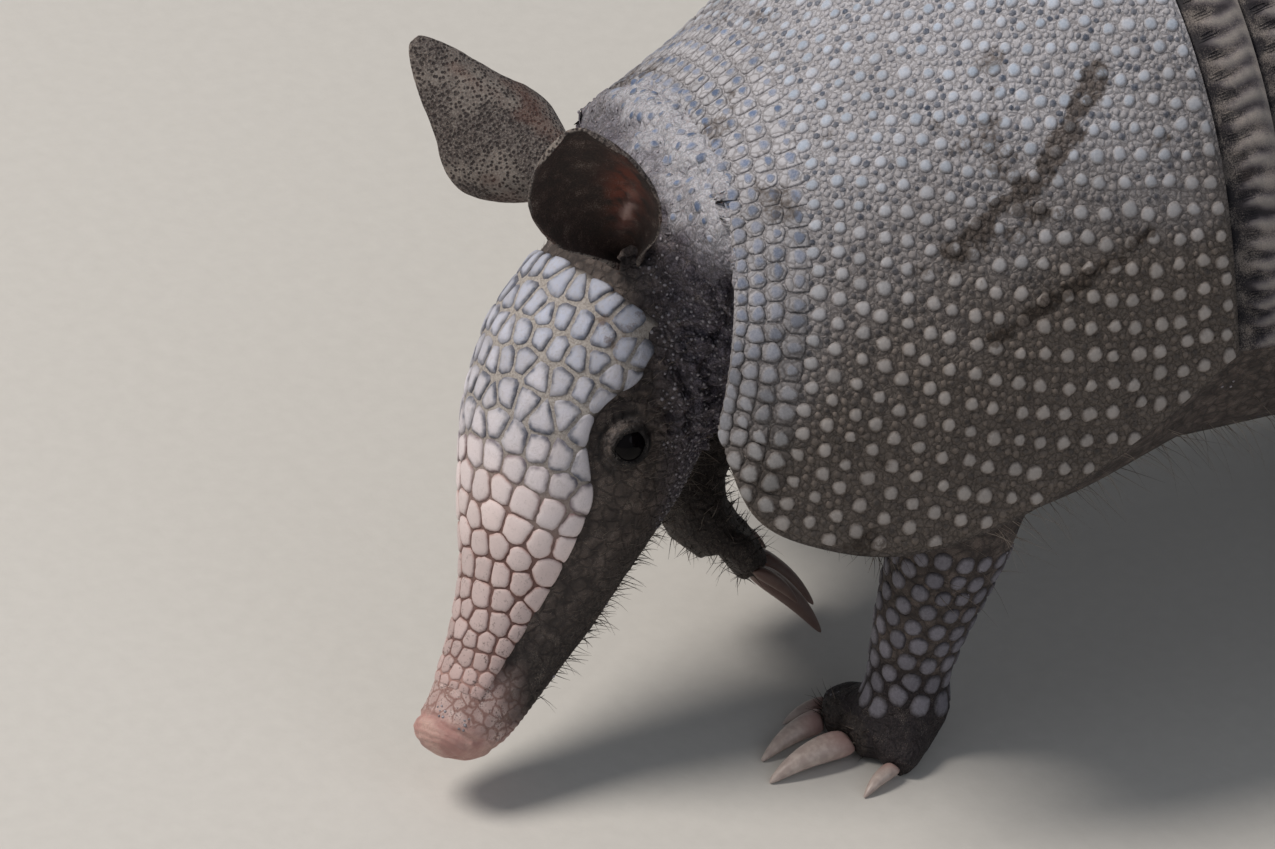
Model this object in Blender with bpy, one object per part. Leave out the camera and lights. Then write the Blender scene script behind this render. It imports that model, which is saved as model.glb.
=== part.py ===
# Nine-banded armadillo, life size: it stands sniffing, its head lowered and its right forefoot lifted.
# It faces -Y and its left side is +X. Sizes are in millimetres and degrees, and the scene is in metres.

import math

import bmesh
import bpy
import numpy as np
from mathutils import Matrix, Vector

mm = 0.001
gap = 0.3  # clearance between neighbouring pieces

# Shell: station, back line y and z, lower edge y and z, half width, underside z, roll in degrees, and
# skew, which is how far the left side leads for each millimetre it stands out
shell_stations = (
    (0.00, 62, 123, 49, 81, 58, 74, 8, 0.13),
    (0.05, 70, 128, 51, 69, 64, 62, 8, 0.13),
    (0.12, 81, 135, 59, 59, 69, 52, 8, 0.11),
    (0.22, 99, 147, 80, 54, 75, 46, 7, 0.08),
    (0.32, 119, 159, 111, 63, 79, 44, 6, 0.05),
    (0.40, 139, 169, 142, 85, 82, 44, 5, 0.03),
    (0.55, 190, 182, 187, 87, 84, 44, 2, 0),
    (0.70, 241, 178, 233, 84, 83, 46, 0, 0),
    (0.80, 273, 163, 258, 77, 79, 51, 0, 0),
    (0.90, 301, 141, 283, 73, 68, 59, 0, 0),
    (1.00, 321, 116, 312, 77, 34, 70, 0, 0),
)
roll_height = 84  # height of the line that the sections roll about
scapular_end = 0.40
pelvic_start = 0.70
band_count = 9
arch_segments = 16
belly_segments = 6
belly_share = 0.94  # width of the belly in the opening of the shell
scapular_stations = (0.0, 0.03, 0.075, 0.14, 0.21, 0.275, 0.34, 0.40)
pelvic_stations = (0.70, 0.75, 0.80, 0.845, 0.89, 0.93, 0.965, 1.0)
plate_thickness = 3.2
trunk_gap = 0.9  # between the plates and the trunk
trunk_turn = 0.995  # share of the arch that the trunk fills
plate_flare = 1.3  # how far a plate's rear edge stands over the next one
section_power = 2.05  # roundness of the arch
edge_tuck = 0.07  # how far the arch draws in at its lower edge
chest_y = 82  # where the neck meets the chest
chest_half_width = 41
chest_top = 129
chest_bottom = 56
chest_collar = 2  # how far the chest's face stands out round the neck
chest_round = 6  # depth of the chest's rounded front
chest_blend = 0.72  # how far that rounding has widened toward the trunk

# Head: nose point, axes as turns from straight ahead, and stations from the nose backward
nose_point = (22, 0, 14)
head_yaw = 24.7
head_pitch = 52.8
head_roll = 10.9  # its left side raised
head_stations = (
    # distance, half width, half height, rise of the middle
    (0, 3.6, 3.4, -1.0),
    (1.2, 6.0, 5.6, -1.3),
    (4, 7.9, 7.6, -2.4),
    (10, 9.0, 9.0, -4.4),
    (20, 10.4, 10.8, -5.8),
    (30, 12.6, 13.6, -6.0),
    (40, 15.6, 16.6, -4.2),
    (52, 19.2, 20.2, -2.4),
    (64, 21.6, 23.0, -1.2),
    (76, 22.8, 23.6, -0.8),
)
head_rings = (0, 1.2, 4, 9, 16, 24, 32, 40, 47, 54, 60, 66, 72, 76)
head_straight = 76  # beyond this the head bends into the neck
head_power = 2.15
head_segments = 20
head_bend_rings = 3
head_bend_length = 14
neck_rings = 4
neck_waist = 2.5  # how much the neck narrows at its middle
crown_pull = 42  # how strongly the nape line leaves the crown and meets the chest
throat_pull = 9
nape_way = (0, 0.87, 0.5)  # direction in which the nape line runs into the back
throat_way = (0, 0.97, -0.2)
shield_edge = ((0, 35), (10, 35), (27, 26), (45, 16), (55, 20), (63, 34), (69, 34), (76, 22), (90, 24))
shield_first, shield_last = 3, 15  # head rings the head shield spans
shield_sides = 4  # segments each side of the middle
shield_thickness = 1.8

eye_distance = 65.4
eye_rise = 4.7
eye_radius = 4.2
eye_depth = 2.0
socket_gap = 0.42

# Each ear: distance from the nose, side, rise, lean (forward, outward, up) and facing (forward, outward)
ear_poses = {
    "ear_left": (100, 10, 15, (-0.36, 0.31, 0.88), (0.85, 0.53)),
    "ear_right": (105, 9, 15, (-0.27, 0.57, 0.40), (-0.12, 0.99)),
}
ear_length = 43
ear_wall = 1.6
ear_hollow = 0.4  # least radius inside the ear, as a share of the radius outside
# Half width of each ear laid flat, along its length: the left one is cupped open, the right one laid out to a point
ear_widths = {
    "ear_left": ((0, 8.5), (0.2, 12), (0.42, 16.5), (0.62, 17), (0.8, 14), (0.93, 9), (1, 3)),
    "ear_right": ((0, 9.5), (0.2, 15), (0.42, 18), (0.62, 11), (0.8, 7.5), (0.93, 4.5), (1, 2)),
}
ear_bends = {"ear_left": ((0, 0), (1, 0)), "ear_right": ((0, -4.5), (0.3, 0.7), (0.65, 1.2), (1, 0.5))}  # sideways
ear_rolls = ((0, 150), (0.2, 118), (0.5, 78), (1, 46))  # half the angle that the cup closes
ear_openness = {"ear_left": 1, "ear_right": 0.82}  # share of that angle
ear_rows = 8
ear_columns = 6

leg_segments = 10
leg_steps = 2
toe_segments = 6
claw_segments = 6

claw_arch = 0.1  # height of the claw's arch as a share of its length
claw_taper = ((0, 1.0), (0.3, 0.98), (0.62, 0.74), (0.86, 0.42), (1, 0.14))
claw_flatness = 0.86
toe_bulge = (0.9, 1.04, 0.87)  # size at the knuckle, the middle and the claw
toe_arch = 0.6

tail_route = (
    (0, 316, 90),
    (0, 348, 61),
    (3, 384, 31),
    (9, 428, 12),
    (21, 480, 8.4),
    (38, 533, 6.1),
    (57, 584, 4),
    (77, 632, 2),
)
tail_radii = ((0, 19), (0.12, 17), (0.3, 13), (0.5, 9.8), (0.75, 6.2), (1, 2.6))
tail_lengths = 4
tail_rings = 6
tail_segments = 12
sharp_angle = 42  # edges that turn more than this stay crisp


def clear_scene():
    for item in list(bpy.data.objects):
        bpy.data.objects.remove(item, do_unlink=True)


def make_material(name, colour, roughness):
    material = bpy.data.materials.new(name)
    material.use_nodes = True
    shader = material.node_tree.nodes["Principled BSDF"]
    shader.inputs["Base Color"].default_value = (*colour, 1)
    shader.inputs["Roughness"].default_value = roughness
    shader.inputs["Metallic"].default_value = 0
    return material


def make_solid(name, points, faces, material):
    mesh = bpy.data.meshes.new(name)
    mesh.from_pydata([Vector(point) * mm for point in points], [], faces)
    work = bmesh.new()
    work.from_mesh(mesh)
    bmesh.ops.recalc_face_normals(work, faces=work.faces)
    work.to_mesh(mesh)
    work.free()
    mesh.materials.append(material)
    mesh.shade_smooth()
    mesh.set_sharp_from_angle(angle=math.radians(sharp_angle))
    solid = bpy.data.objects.new(name, mesh)
    bpy.context.collection.objects.link(solid)
    return solid


def curve_through(table, at):
    """Smooth values between rows (position, value, ...) with no overshoot."""
    rows = np.array(table, dtype=float)
    place = rows[:, 0]
    values = rows[:, 1:]
    steps = np.diff(place)[:, None]
    slopes = np.diff(values, axis=0) / steps
    tangents = np.zeros_like(values)
    tangents[0] = slopes[0]
    tangents[-1] = slopes[-1]
    same = slopes[:-1] * slopes[1:] > 0
    mean = 2 * slopes[:-1] * slopes[1:] / np.where(same, slopes[:-1] + slopes[1:], 1)
    tangents[1:-1] = np.where(same, mean, 0)
    cell = int(np.clip(np.searchsorted(place, at) - 1, 0, len(place) - 2))
    u = (at - place[cell]) / steps[cell, 0]
    hold = (1 + 2 * u) * (1 - u) ** 2 * values[cell] + u * u * (3 - 2 * u) * values[cell + 1]
    push = u * (1 - u) ** 2 * tangents[cell] - u * u * (1 - u) * tangents[cell + 1]
    return hold + push * steps[cell, 0]


def loft(rings):
    """Points and faces of a closed body through equal rings, its ends capped."""
    size = len(rings[0])
    points = [point for ring in rings for point in ring]
    faces = []
    for row in range(len(rings) - 1):
        for k in range(size):
            a = row * size + k
            b = row * size + (k + 1) % size
            faces.append((a, b, b + size))
            faces.append((a, b + size, a + size))
    faces.append(tuple(range(size)))
    last = (len(rings) - 1) * size
    faces.append(tuple(last + k for k in range(size)))
    return points, faces


def thick_sheet(outer, inner):
    """Points and faces of a plate between two equal grids of points."""
    rows = len(outer)
    columns = len(outer[0])
    points = [point for row in outer for point in row] + [point for row in inner for point in row]
    under = rows * columns
    faces = []
    for i in range(rows - 1):
        for j in range(columns - 1):
            a = i * columns + j
            for base in (0, under):
                faces.append((base + a, base + a + 1, base + a + columns + 1))
                faces.append((base + a, base + a + columns + 1, base + a + columns))
    border = list(range(columns))
    border += [i * columns + columns - 1 for i in range(1, rows)]
    border += [(rows - 1) * columns + j for j in range(columns - 2, -1, -1)]
    border += [i * columns for i in range(rows - 2, 0, -1)]
    for k, a in enumerate(border):
        b = border[(k + 1) % len(border)]
        faces.append((a, b, under + b))
        faces.append((a, under + b, under + a))
    return points, faces


def cut_away(solid, cutter):
    cut = solid.modifiers.new("cut", "BOOLEAN")
    cut.operation = "DIFFERENCE"
    cut.solver = "EXACT"
    cut.object = cutter
    cutter.hide_render = True
    cutter.display_type = "WIRE"


def join_on(solid, addition):
    join = solid.modifiers.new("join", "BOOLEAN")
    join.operation = "UNION"
    join.solver = "EXACT"
    join.object = addition
    addition.hide_render = True
    addition.display_type = "WIRE"


# Shell and trunk

def rolled(point, roll):
    """Turns a point about the roll line; a positive roll raises the left side."""
    turn = Matrix.Rotation(math.radians(-roll), 3, "Y")
    pivot = Vector((0, point.y, roll_height))
    return pivot + turn @ (point - pivot)


def arch_point(station, turn, inset=0.0):
    """Point of the arched shell: turn runs from -1, the right edge, over the back to 1, the left edge."""
    back_y, back_z, edge_y, edge_z, half_width, _, roll, skew = curve_through(shell_stations, station)
    rise = math.hypot(back_y - edge_y, back_z - edge_z)

    def flat(value):
        angle = (1 - min(abs(value), 1)) * math.pi / 2
        cosine = max(math.cos(angle), 0)
        across = half_width * cosine ** (2 / section_power) * (1 - edge_tuck * cosine ** 8)
        return Vector((math.copysign(across, value), rise * max(math.sin(angle), 0) ** (2 / section_power)))

    here = flat(turn)
    step = 0.02
    along = flat(min(turn + step, 1)) - flat(max(turn - step, -1))
    outward = Vector((-along.y, along.x)).normalized()
    here -= outward * inset
    up = Vector((0, back_y - edge_y, back_z - edge_z)).normalized()
    return rolled(Vector((here.x, edge_y - here.x * skew, edge_z)) + up * here.y, roll)


def arch_turns():
    return [2 * k / arch_segments - 1 for k in range(arch_segments + 1)]


def shell_plate(name, stations, material):
    start = stations[0]
    end = stations[-1]
    outer = []
    inner = []
    length = end - start
    for station in stations:
        flare = plate_flare * ((station - start) / length) ** 2
        trim = 0.0
        if station == end and end < 1:
            trim = -gap
        back = Vector((0, trim, 0))
        outer.append([arch_point(station, turn, -flare) + back for turn in arch_turns()])
        inner.append([arch_point(station, turn, plate_thickness) + back for turn in arch_turns()])
    points, faces = thick_sheet(outer, inner)
    return make_solid(name, points, faces, material)


def band_edges():
    step = (pelvic_start - scapular_end) / band_count
    return [scapular_end + step * k for k in range(band_count + 1)]


def trunk_ring(station):
    """Ring just inside the plates, closed under the belly."""
    depth = plate_thickness + trunk_gap
    ring = [arch_point(station, turn * trunk_turn, depth) for turn in arch_turns()]
    left = ring[-1]
    right = ring[0]
    underside = curve_through(shell_stations, station)[5]
    for k in range(1, belly_segments):
        angle = math.pi * k / belly_segments
        edge = left.lerp(right, (1 - belly_share * math.cos(angle)) / 2)
        drop = (edge.z - underside) * math.sin(angle)
        ring.append(Vector((edge.x, edge.y, edge.z - drop)))
    return ring


def chest_ring(y):
    """Ring of the chest face, with as many points as a trunk ring."""
    middle = (chest_top + chest_bottom) / 2
    half = (chest_top - chest_bottom) / 2 + chest_collar
    return round_ring(y, middle, chest_half_width + chest_collar, half)


def round_ring(y, z, half_width, half_height):
    ring = []
    for turn in arch_turns():
        angle = math.pi / 2 * (1 - turn)
        ring.append(Vector((half_width * math.cos(angle), y, z + half_height * math.sin(angle))))
    for k in range(1, belly_segments):
        angle = -math.pi * k / belly_segments
        ring.append(Vector((half_width * math.cos(angle), y, z + half_height * math.sin(angle))))
    return ring


def build_shell(horn):
    shell_plate("scapular_shield", scapular_stations, horn)
    edges = band_edges()
    for k in range(band_count):
        shell_plate(f"band_{k + 1}", (edges[k], edges[k + 1]), horn)
    shell_plate("pelvic_shield", pelvic_stations, horn)


def build_trunk(skin, legs):
    stations = (0.21, 0.275, 0.34, *band_edges()[::3], 0.75, 0.80, 0.845, 0.89, 0.93, 0.965)
    rings = [chest_ring(chest_y)]
    rounded = zip(chest_ring(chest_y + chest_round), trunk_ring(0.14))
    rings.append([a.lerp(b, chest_blend) for a, b in rounded])
    rings += [trunk_ring(station) for station in stations]
    base = tail_route[0]
    rings.append(round_ring(base[1] - gap, base[2], tail_radii[0][1], tail_radii[0][1]))
    points, faces = loft(rings)
    trunk = make_solid("trunk", points, faces, skin)
    for leg in legs:
        cut_away(trunk, leg)
    return trunk


# Head, neck, ears and eyes

def head_axes():
    turn = Matrix.Rotation(math.radians(head_yaw), 3, "Z")
    tip = Matrix.Rotation(math.radians(head_pitch), 3, "X")
    roll = Matrix.Rotation(math.radians(-head_roll), 3, "Y")
    pose = turn @ tip @ roll
    forward = pose @ Vector((0, -1, 0))
    left = pose @ Vector((1, 0, 0))
    up = pose @ Vector((0, 0, 1))
    return forward, left, up


def head_place(distance, side, rise):
    forward, left, up = head_axes()
    return Vector(nose_point) - forward * distance + left * side + up * rise


def oval(centre, side_axis, rise_axis, half_width, half_up, half_down, angles, power):
    """Ring of a rounded section; its angles run from the top to the side axis first."""
    ring = []
    for angle in angles:
        cosine = math.cos(angle)
        sine = math.sin(angle)
        across = half_width * math.copysign(abs(cosine) ** (2 / power), cosine)
        height = half_up if sine > 0 else half_down
        rise = height * math.copysign(abs(sine) ** (2 / power), sine)
        ring.append(centre + side_axis * across + rise_axis * rise)
    return ring


def even_angles(segments):
    return [math.pi / 2 - 2 * math.pi * k / segments for k in range(segments)]


def head_angles(distance):
    """Angles round a head ring, with one point on the shield's edge each side."""
    edge = math.radians(curve_through(shield_edge, min(distance, shield_edge[-1][0]))[0])
    half = head_segments // 2
    right = [math.pi / 2 - (math.pi / 2 - edge) * k / shield_sides for k in range(shield_sides)]
    right += [edge - (edge + math.pi / 2) * k / (half - shield_sides) for k in range(half - shield_sides + 1)]
    return right + [math.pi - angle for angle in reversed(right[1:-1])]


def hermite(start, start_pull, end, end_pull, u):
    hold = start * (1 + 2 * u) * (1 - u) ** 2 + end * u * u * (3 - 2 * u)
    return hold + start_pull * u * (1 - u) ** 2 - end_pull * u * u * (1 - u)


def bend_ring(u):
    """Ring of the bend between the straight head and the chest; u runs from 0 to 1."""
    forward, left, up = head_axes()
    _, half_width, half_height, middle = head_stations[-1]
    back = -forward
    crown = head_place(head_straight, 0, middle + half_height)
    throat = head_place(head_straight, 0, middle - half_height)
    nape_end = Vector((0, chest_y, chest_top))
    throat_end = Vector((0, chest_y, chest_bottom))
    top = hermite(crown, back * crown_pull, nape_end, Vector(nape_way) * crown_pull, u)
    bottom = hermite(throat, back * throat_pull, throat_end, Vector(throat_way) * throat_pull, u)
    rise = (top - bottom) / 2
    half = rise.length
    rise.normalize()
    side = left.lerp(Vector((1, 0, 0)), u)
    side = (side - rise * side.dot(rise)).normalized()
    ease = u * u * (3 - 2 * u)
    width = half_width + (chest_half_width - half_width) * ease - neck_waist * math.sin(math.pi * u)
    distance = head_straight + head_bend_length * u * (head_bend_rings + neck_rings) / head_bend_rings
    power = head_power + (2 - head_power) * u
    return oval((top + bottom) / 2, side, rise, width, half, half, head_angles(distance), power)


def ring_normal(ring):
    centre = sum(ring, Vector()) / len(ring)
    quarter = len(ring) // 4
    return (ring[0] - centre).cross(ring[quarter] - centre).normalized()


def head_ring(distance, inset=0.0):
    half_width, half_height, middle = curve_through(head_stations, distance)
    _, left, up = head_axes()
    centre = head_place(distance, 0, middle)
    high = half_height - inset
    return oval(centre, left, up, half_width - inset, high, high, head_angles(distance), head_power)


def bend_steps():
    count = head_bend_rings + neck_rings
    return [k / count for k in range(count + 1)]


def swollen(rings, amount):
    """The same rings pushed out from their middles."""
    grown = []
    for ring in rings:
        centre = sum(ring, Vector()) / len(ring)
        grown.append([point + (point - centre).normalized() * amount for point in ring])
    return grown


def build_head(skin, horn, sockets):
    steps = bend_steps()
    outer = [head_ring(distance) for distance in head_rings]
    outer += [bend_ring(u) for u in steps[1:head_bend_rings + 1]]
    sunk = [[point.copy() for point in ring] for ring in outer]
    covered = [k % head_segments for k in range(-shield_sides, shield_sides + 1)]
    plate_outer = []
    plate_inner = []
    for i in range(shield_first, shield_last + 1):
        centre = sum(outer[i], Vector()) / head_segments
        under = []
        for k in covered:
            inward = (centre - outer[i][k]).normalized()
            sunk[i][k] += inward * (shield_thickness + gap)
            under.append(outer[i][k] + inward * shield_thickness)
        plate_outer.append([outer[i][k] for k in covered])
        plate_inner.append(under)
    points, faces = loft(sunk)
    head = make_solid("head", points, faces, skin)
    for socket in sockets:
        cut_away(head, socket)
    points, faces = thick_sheet(plate_outer, plate_inner)
    make_solid("head_shield", points, faces, horn)

    neck = [bend_ring(u) for u in steps[head_bend_rings:]]
    away = ring_normal(neck[0])
    if away.y < 0:
        away = -away
    neck[0] = [point + away * gap for point in neck[0]]
    neck[-1] = [point - Vector((0, gap, 0)) for point in neck[-1]]
    points, faces = loft(neck)
    make_solid("neck", points, faces, skin)

    whole = outer + [bend_ring(u) for u in steps[head_bend_rings + 1:]]
    points, faces = loft(swollen(whole, gap))
    return make_solid("head_outline", points, faces, skin)


def eye_centre(side):
    half_width, half_height, middle = curve_through(head_stations, eye_distance)
    rise = eye_rise - middle
    across = half_width * (1 - (rise / half_height) ** head_power) ** (1 / head_power)
    return head_place(eye_distance, side * (across - eye_depth), eye_rise)


def ball(name, centre, radius, material):
    mesh = bpy.data.meshes.new(name)
    work = bmesh.new()
    bmesh.ops.create_uvsphere(work, u_segments=10, v_segments=6, radius=radius * mm)
    bmesh.ops.triangulate(work, faces=work.faces)
    work.to_mesh(mesh)
    work.free()
    mesh.materials.append(material)
    mesh.shade_smooth()
    solid = bpy.data.objects.new(name, mesh)
    bpy.context.collection.objects.link(solid)
    solid.location = Vector(centre) * mm
    bpy.context.view_layer.update()
    return solid


def build_eyes(glass):
    sockets = []
    for name, side in (("eye_left", 1), ("eye_right", -1)):
        ball(name, eye_centre(side), eye_radius, glass)
        sockets.append(ball(f"{name}_socket", eye_centre(side), eye_radius + socket_gap, glass))
    return sockets


def build_ear(name, side, material, head_outline):
    """A cupped leaf, rolled to a tube at its root; it opens outward and forward."""
    forward, left, up = head_axes()
    distance, offset, height, lean, opening = ear_poses[name]
    axis = (forward * lean[0] + left * (lean[1] * side) + up * lean[2]).normalized()
    facing = forward * opening[0] + left * (opening[1] * side)
    facing = (facing - axis * facing.dot(axis)).normalized()
    across = axis.cross(facing)
    root = head_place(distance, offset * side, height)
    outer = []
    inner = []
    for i in range(ear_rows + 1):
        u = i / ear_rows
        roll = math.radians(curve_through(ear_rolls, u)[0] * ear_openness[name])
        radius = curve_through(ear_widths[name], u)[0] / roll
        bend = curve_through(ear_bends[name], u)[0]
        line_out = []
        line_in = []
        for j in range(ear_columns + 1):
            angle = roll * (2 * j / ear_columns - 1)
            spread = across * math.sin(angle) - facing * math.cos(angle)
            centre = root + axis * (ear_length * u) + facing * radius + across * bend
            line_out.append(centre + spread * radius)
            line_in.append(centre + spread * max(radius - ear_wall, radius * ear_hollow))
        outer.append(line_out)
        inner.append(line_in)
    points, faces = thick_sheet(outer, inner)
    ear = make_solid(name, points, faces, material)
    cut_away(ear, head_outline)
    return ear


# Legs, feet and claws

def tube_rings(stops, segments, grow=0.0, start_along=None):
    """Rings across a bent limb; a stop is a place and two half sizes, side to side and front to back."""
    places = [Vector(stop[0]) for stop in stops]
    rings = []
    for i, stop in enumerate(stops):
        before = places[max(i - 1, 0)]
        after = places[min(i + 1, len(stops) - 1)]
        along = (after - before).normalized()
        if i == 0 and start_along:
            along = start_along
        side = Vector((1, 0, 0))
        side = (side - along * side.dot(along)).normalized()
        deep = along.cross(side)
        ring = []
        for k in range(segments):
            angle = 2 * math.pi * k / segments
            across = side * ((stop[1] + grow) * math.cos(angle))
            ring.append(places[i] + across + deep * ((stop[2] + grow) * math.sin(angle)))
        rings.append(ring)
    return rings


def refine(stops, steps):
    """Extra stops on a smooth curve through the given ones."""
    table = [(k, *stop[0], stop[1], stop[2]) for k, stop in enumerate(stops)]
    finer = []
    for k in range((len(stops) - 1) * steps + 1):
        x, y, z, a, b = curve_through(table, k / steps)
        finer.append(((x, y, z), a, b))
    return finer


def stand_on_floor(points):
    return [Vector((point[0], point[1], max(point[2], 0))) for point in points]


# Stops down each leg: place, half size side to side and half size front to back
left_foreleg = (
    ((43, 103, 84), 13, 15),
    ((44, 100, 62), 12.5, 14),
    ((42, 96, 42), 10.5, 11.5),
    ((40, 92, 26), 8.6, 8.8),
    ((39, 90, 15), 7.8, 7.6),
)
right_foreleg = (
    ((-40, 104, 86), 13, 14),
    ((-37, 99, 68), 12, 13),
    ((-29, 88, 53), 10, 10.5),
    ((-21, 77, 44), 8, 8),
    ((-15, 70, 38), 7, 7),
)
left_hindleg = (
    ((50, 252, 92), 19, 26),
    ((53, 250, 66), 18, 24),
    ((51, 262, 46), 14, 17),
    ((47, 277, 30), 9.5, 10.5),
    ((46, 281, 21), 8.4, 8.8),
)


def mirrored(stops):
    return tuple(((-place[0], place[1], place[2]), a, b) for place, a, b in stops)


leg_routes = {
    "foreleg_left": left_foreleg,
    "foreleg_right": right_foreleg,
    "hindleg_left": left_hindleg,
    "hindleg_right": mirrored(left_hindleg),
}


def build_legs(skin):
    cutters = []
    for name, stops in leg_routes.items():
        fine = refine(stops, leg_steps)
        points, faces = loft(tube_rings(fine, leg_segments))
        make_solid(name, points, faces, skin)
        grown = tube_rings(fine, leg_segments, gap)
        first = Vector(fine[0][0])
        lift = (first - Vector(fine[1][0])).normalized() * gap
        grown[0] = [point + lift for point in grown[0]]
        points, faces = loft(grown)
        cutters.append(make_solid(f"{name}_socket", points, faces, skin))
    return cutters


# Each foot: stops of its palm, then for each toe its knuckle, its end, its half size, the claw's tip and
# the claw's half size
def foot_data():
    fore_left = {
        "name": "forefoot_left",
        "leg": "foreleg_left",
        "palm": (
            ((39, 90, 9), 8.6, 8.4),
            ((38.5, 88, 5.2), 10.5, 7.4),
            ((38, 84.5, 4.4), 11.5, 5.8),
            ((37.8, 81, 3.7), 11, 4.8),
        ),
        "toes": (
            ((28.5, 87, 4.2), (24, 80.5, 2.2), 3.2, (24.5, 71, 0.3), 2.1),
            ((33.5, 86, 5.2), (30, 77, 3.1), 4.2, (35, 61.5, 0.4), 3.2),
            ((40.5, 86, 5.6), (40, 78, 3.5), 4.7, (42.5, 59.5, 0.4), 3.8),
            ((46.5, 88, 4.2), (50.2, 82, 2.4), 3.4, (54.6, 73.5, 0.3), 2.1),
        ),
    }
    fore_right = {
        "name": "forefoot_right",
        "leg": "foreleg_right",
        "palm": (((-12.5, 67.6, 33), 8.2, 7.6), ((-10, 69, 28), 9.4, 6.4), ((-8, 72, 24), 9.4, 5)),
        "toes": (
            ((-15.5, 74, 27), (-17, 78.5, 21), 3.0, (-17.5, 87, 13), 1.9),
            ((-11, 74, 25), (-10.5, 79, 18.5), 3.9, (-6.5, 92, 5), 3.0),
            ((-5, 73.5, 25), (-3, 77.5, 18.5), 4.1, (2, 89.5, 4), 3.3),
            ((-1, 72, 27.5), (2, 75, 22), 3.1, (5, 83, 14), 2.1),
        ),
    }
    hind_left = {
        "name": "hindfoot_left",
        "leg": "hindleg_left",
        "palm": (
            ((46, 281.5, 11), 8.8, 10),
            ((46.5, 273, 6.5), 10.5, 8),
            ((48, 258, 5.6), 13.5, 6.2),
            ((49, 250, 4.6), 14, 5.2),
        ),
        "toes": (
            ((38.5, 252, 4.4), (35.5, 244, 2.5), 3.5, (34, 234, 0.3), 2.3),
            ((43.5, 249, 4.8), (42.5, 237, 3.0), 4.2, (42, 222, 0.4), 3.0),
            ((49.5, 248, 5), (50.5, 234.5, 3.2), 4.5, (51.5, 218, 0.4), 3.3),
            ((55.5, 249.5, 4.8), (58, 238, 3.0), 4.2, (60, 224, 0.4), 3.0),
            ((60, 254, 4.4), (63.5, 247, 2.4), 3.4, (66, 237.5, 0.3), 2.2),
        ),
    }
    return fore_left, fore_right, hind_left, mirror_foot(hind_left, "hindfoot_right")


def flip(place):
    return (-place[0], place[1], place[2])


def mirror_foot(foot, name):
    return {
        "name": name,
        "leg": foot["leg"].replace("left", "right"),
        "palm": mirrored(foot["palm"]),
        "toes": tuple(
            (flip(knuckle), flip(root), size, flip(tip), thick)
            for knuckle, root, size, tip, thick in foot["toes"]
        ),
    }


def toe_rings(knuckle, root, size):
    start = Vector(knuckle)
    end = Vector(root)
    middle = start.lerp(end, 0.45) + Vector((0, 0, toe_arch))
    halves = [size * share for share in toe_bulge]
    stops = [(place, half, half) for place, half in zip((start, middle, end), halves)]
    return tube_rings(stops, toe_segments)


def claw_rings(knuckle, root, tip, size):
    """A claw arched over its middle and drawn to a blunt point."""
    start = Vector(root)
    end = Vector(tip)
    along = (end - start).normalized()
    lift = Vector((0, 0, 1)) - along * along.z
    arch = (end - start).length * claw_arch
    stops = []
    for u, width in claw_taper:
        place = start.lerp(end, u) + lift * (arch * math.sin(math.pi * u))
        stops.append((place, size * width, size * width * claw_flatness))
    rings = tube_rings(stops, claw_segments)
    facing = (start - Vector(knuckle)).normalized()
    rings[0] = [point - facing * (point - start).dot(facing) for point in rings[0]]
    return [[point + facing * gap for point in ring] for ring in rings]


def build_feet(skin, claw_horn):
    for foot in foot_data():
        name = foot["name"]
        lowered = name != "forefoot_right"
        leg = refine(leg_routes[foot["leg"]], leg_steps)
        along = (Vector(leg[-1][0]) - Vector(leg[-2][0])).normalized()
        ankle = (Vector(leg[-1][0]) + along * gap, leg[-1][1] * 0.98, leg[-1][2] * 0.98)
        points, faces = loft(tube_rings((ankle, *foot["palm"]), leg_segments, 0, along))
        points = stand_on_floor(points) if lowered else points
        palm = make_solid(name, points, faces, skin)
        for k, (knuckle, root, size, tip, thick) in enumerate(foot["toes"]):
            rings = toe_rings(knuckle, root, size)
            facing = (Vector(root) - Vector(knuckle)).normalized()
            rings[-1] = [point - facing * (point - Vector(root)).dot(facing) for point in rings[-1]]
            points, faces = loft(rings)
            points = stand_on_floor(points) if lowered else points
            join_on(palm, make_solid(f"{name}_toe_{k + 1}", points, faces, skin))
            points, faces = loft(claw_rings(knuckle, root, tip, thick))
            points = stand_on_floor(points) if lowered else points
            make_solid(name.replace("foot", "claw") + f"_{k + 1}", points, faces, claw_horn)


# Tail

def tail_frame(u):
    table = [(k / (len(tail_route) - 1), *point) for k, point in enumerate(tail_route)]
    place = Vector(curve_through(table, u))
    step = 0.004
    ahead = Vector(curve_through(table, min(u + step, 1)))
    behind = Vector(curve_through(table, max(u - step, 0)))
    return place, (ahead - behind).normalized()


def tail_ring(u, shift):
    place, along = tail_frame(u)
    radius = curve_through(tail_radii, u)[0]
    side = Vector((1, 0, 0)) - along * along.x
    side.normalize()
    rise = side.cross(along)
    centre = place + along * shift
    return oval(centre, side, rise, radius, radius, radius, even_angles(tail_segments), 2)


def build_tail(horn):
    for length in range(tail_lengths):
        rings = []
        for k in range(tail_rings + 1):
            u = (length + k / tail_rings) / tail_lengths
            shift = gap if k == 0 and length > 0 else 0.0
            rings.append(tail_ring(u, shift))
        if length == 0:
            rings[0] = rump_ring_for_tail(Vector(tail_route[0]))
        points, faces = loft(rings)
        make_solid(f"tail_{length + 1}", stand_on_floor(points), faces, horn)


def rump_ring_for_tail(base):
    radius = tail_radii[0][1]
    side = Vector((1, 0, 0))
    rise = Vector((0, 0, 1))
    return oval(base, side, rise, radius, radius, radius, even_angles(tail_segments), 2)


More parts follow.
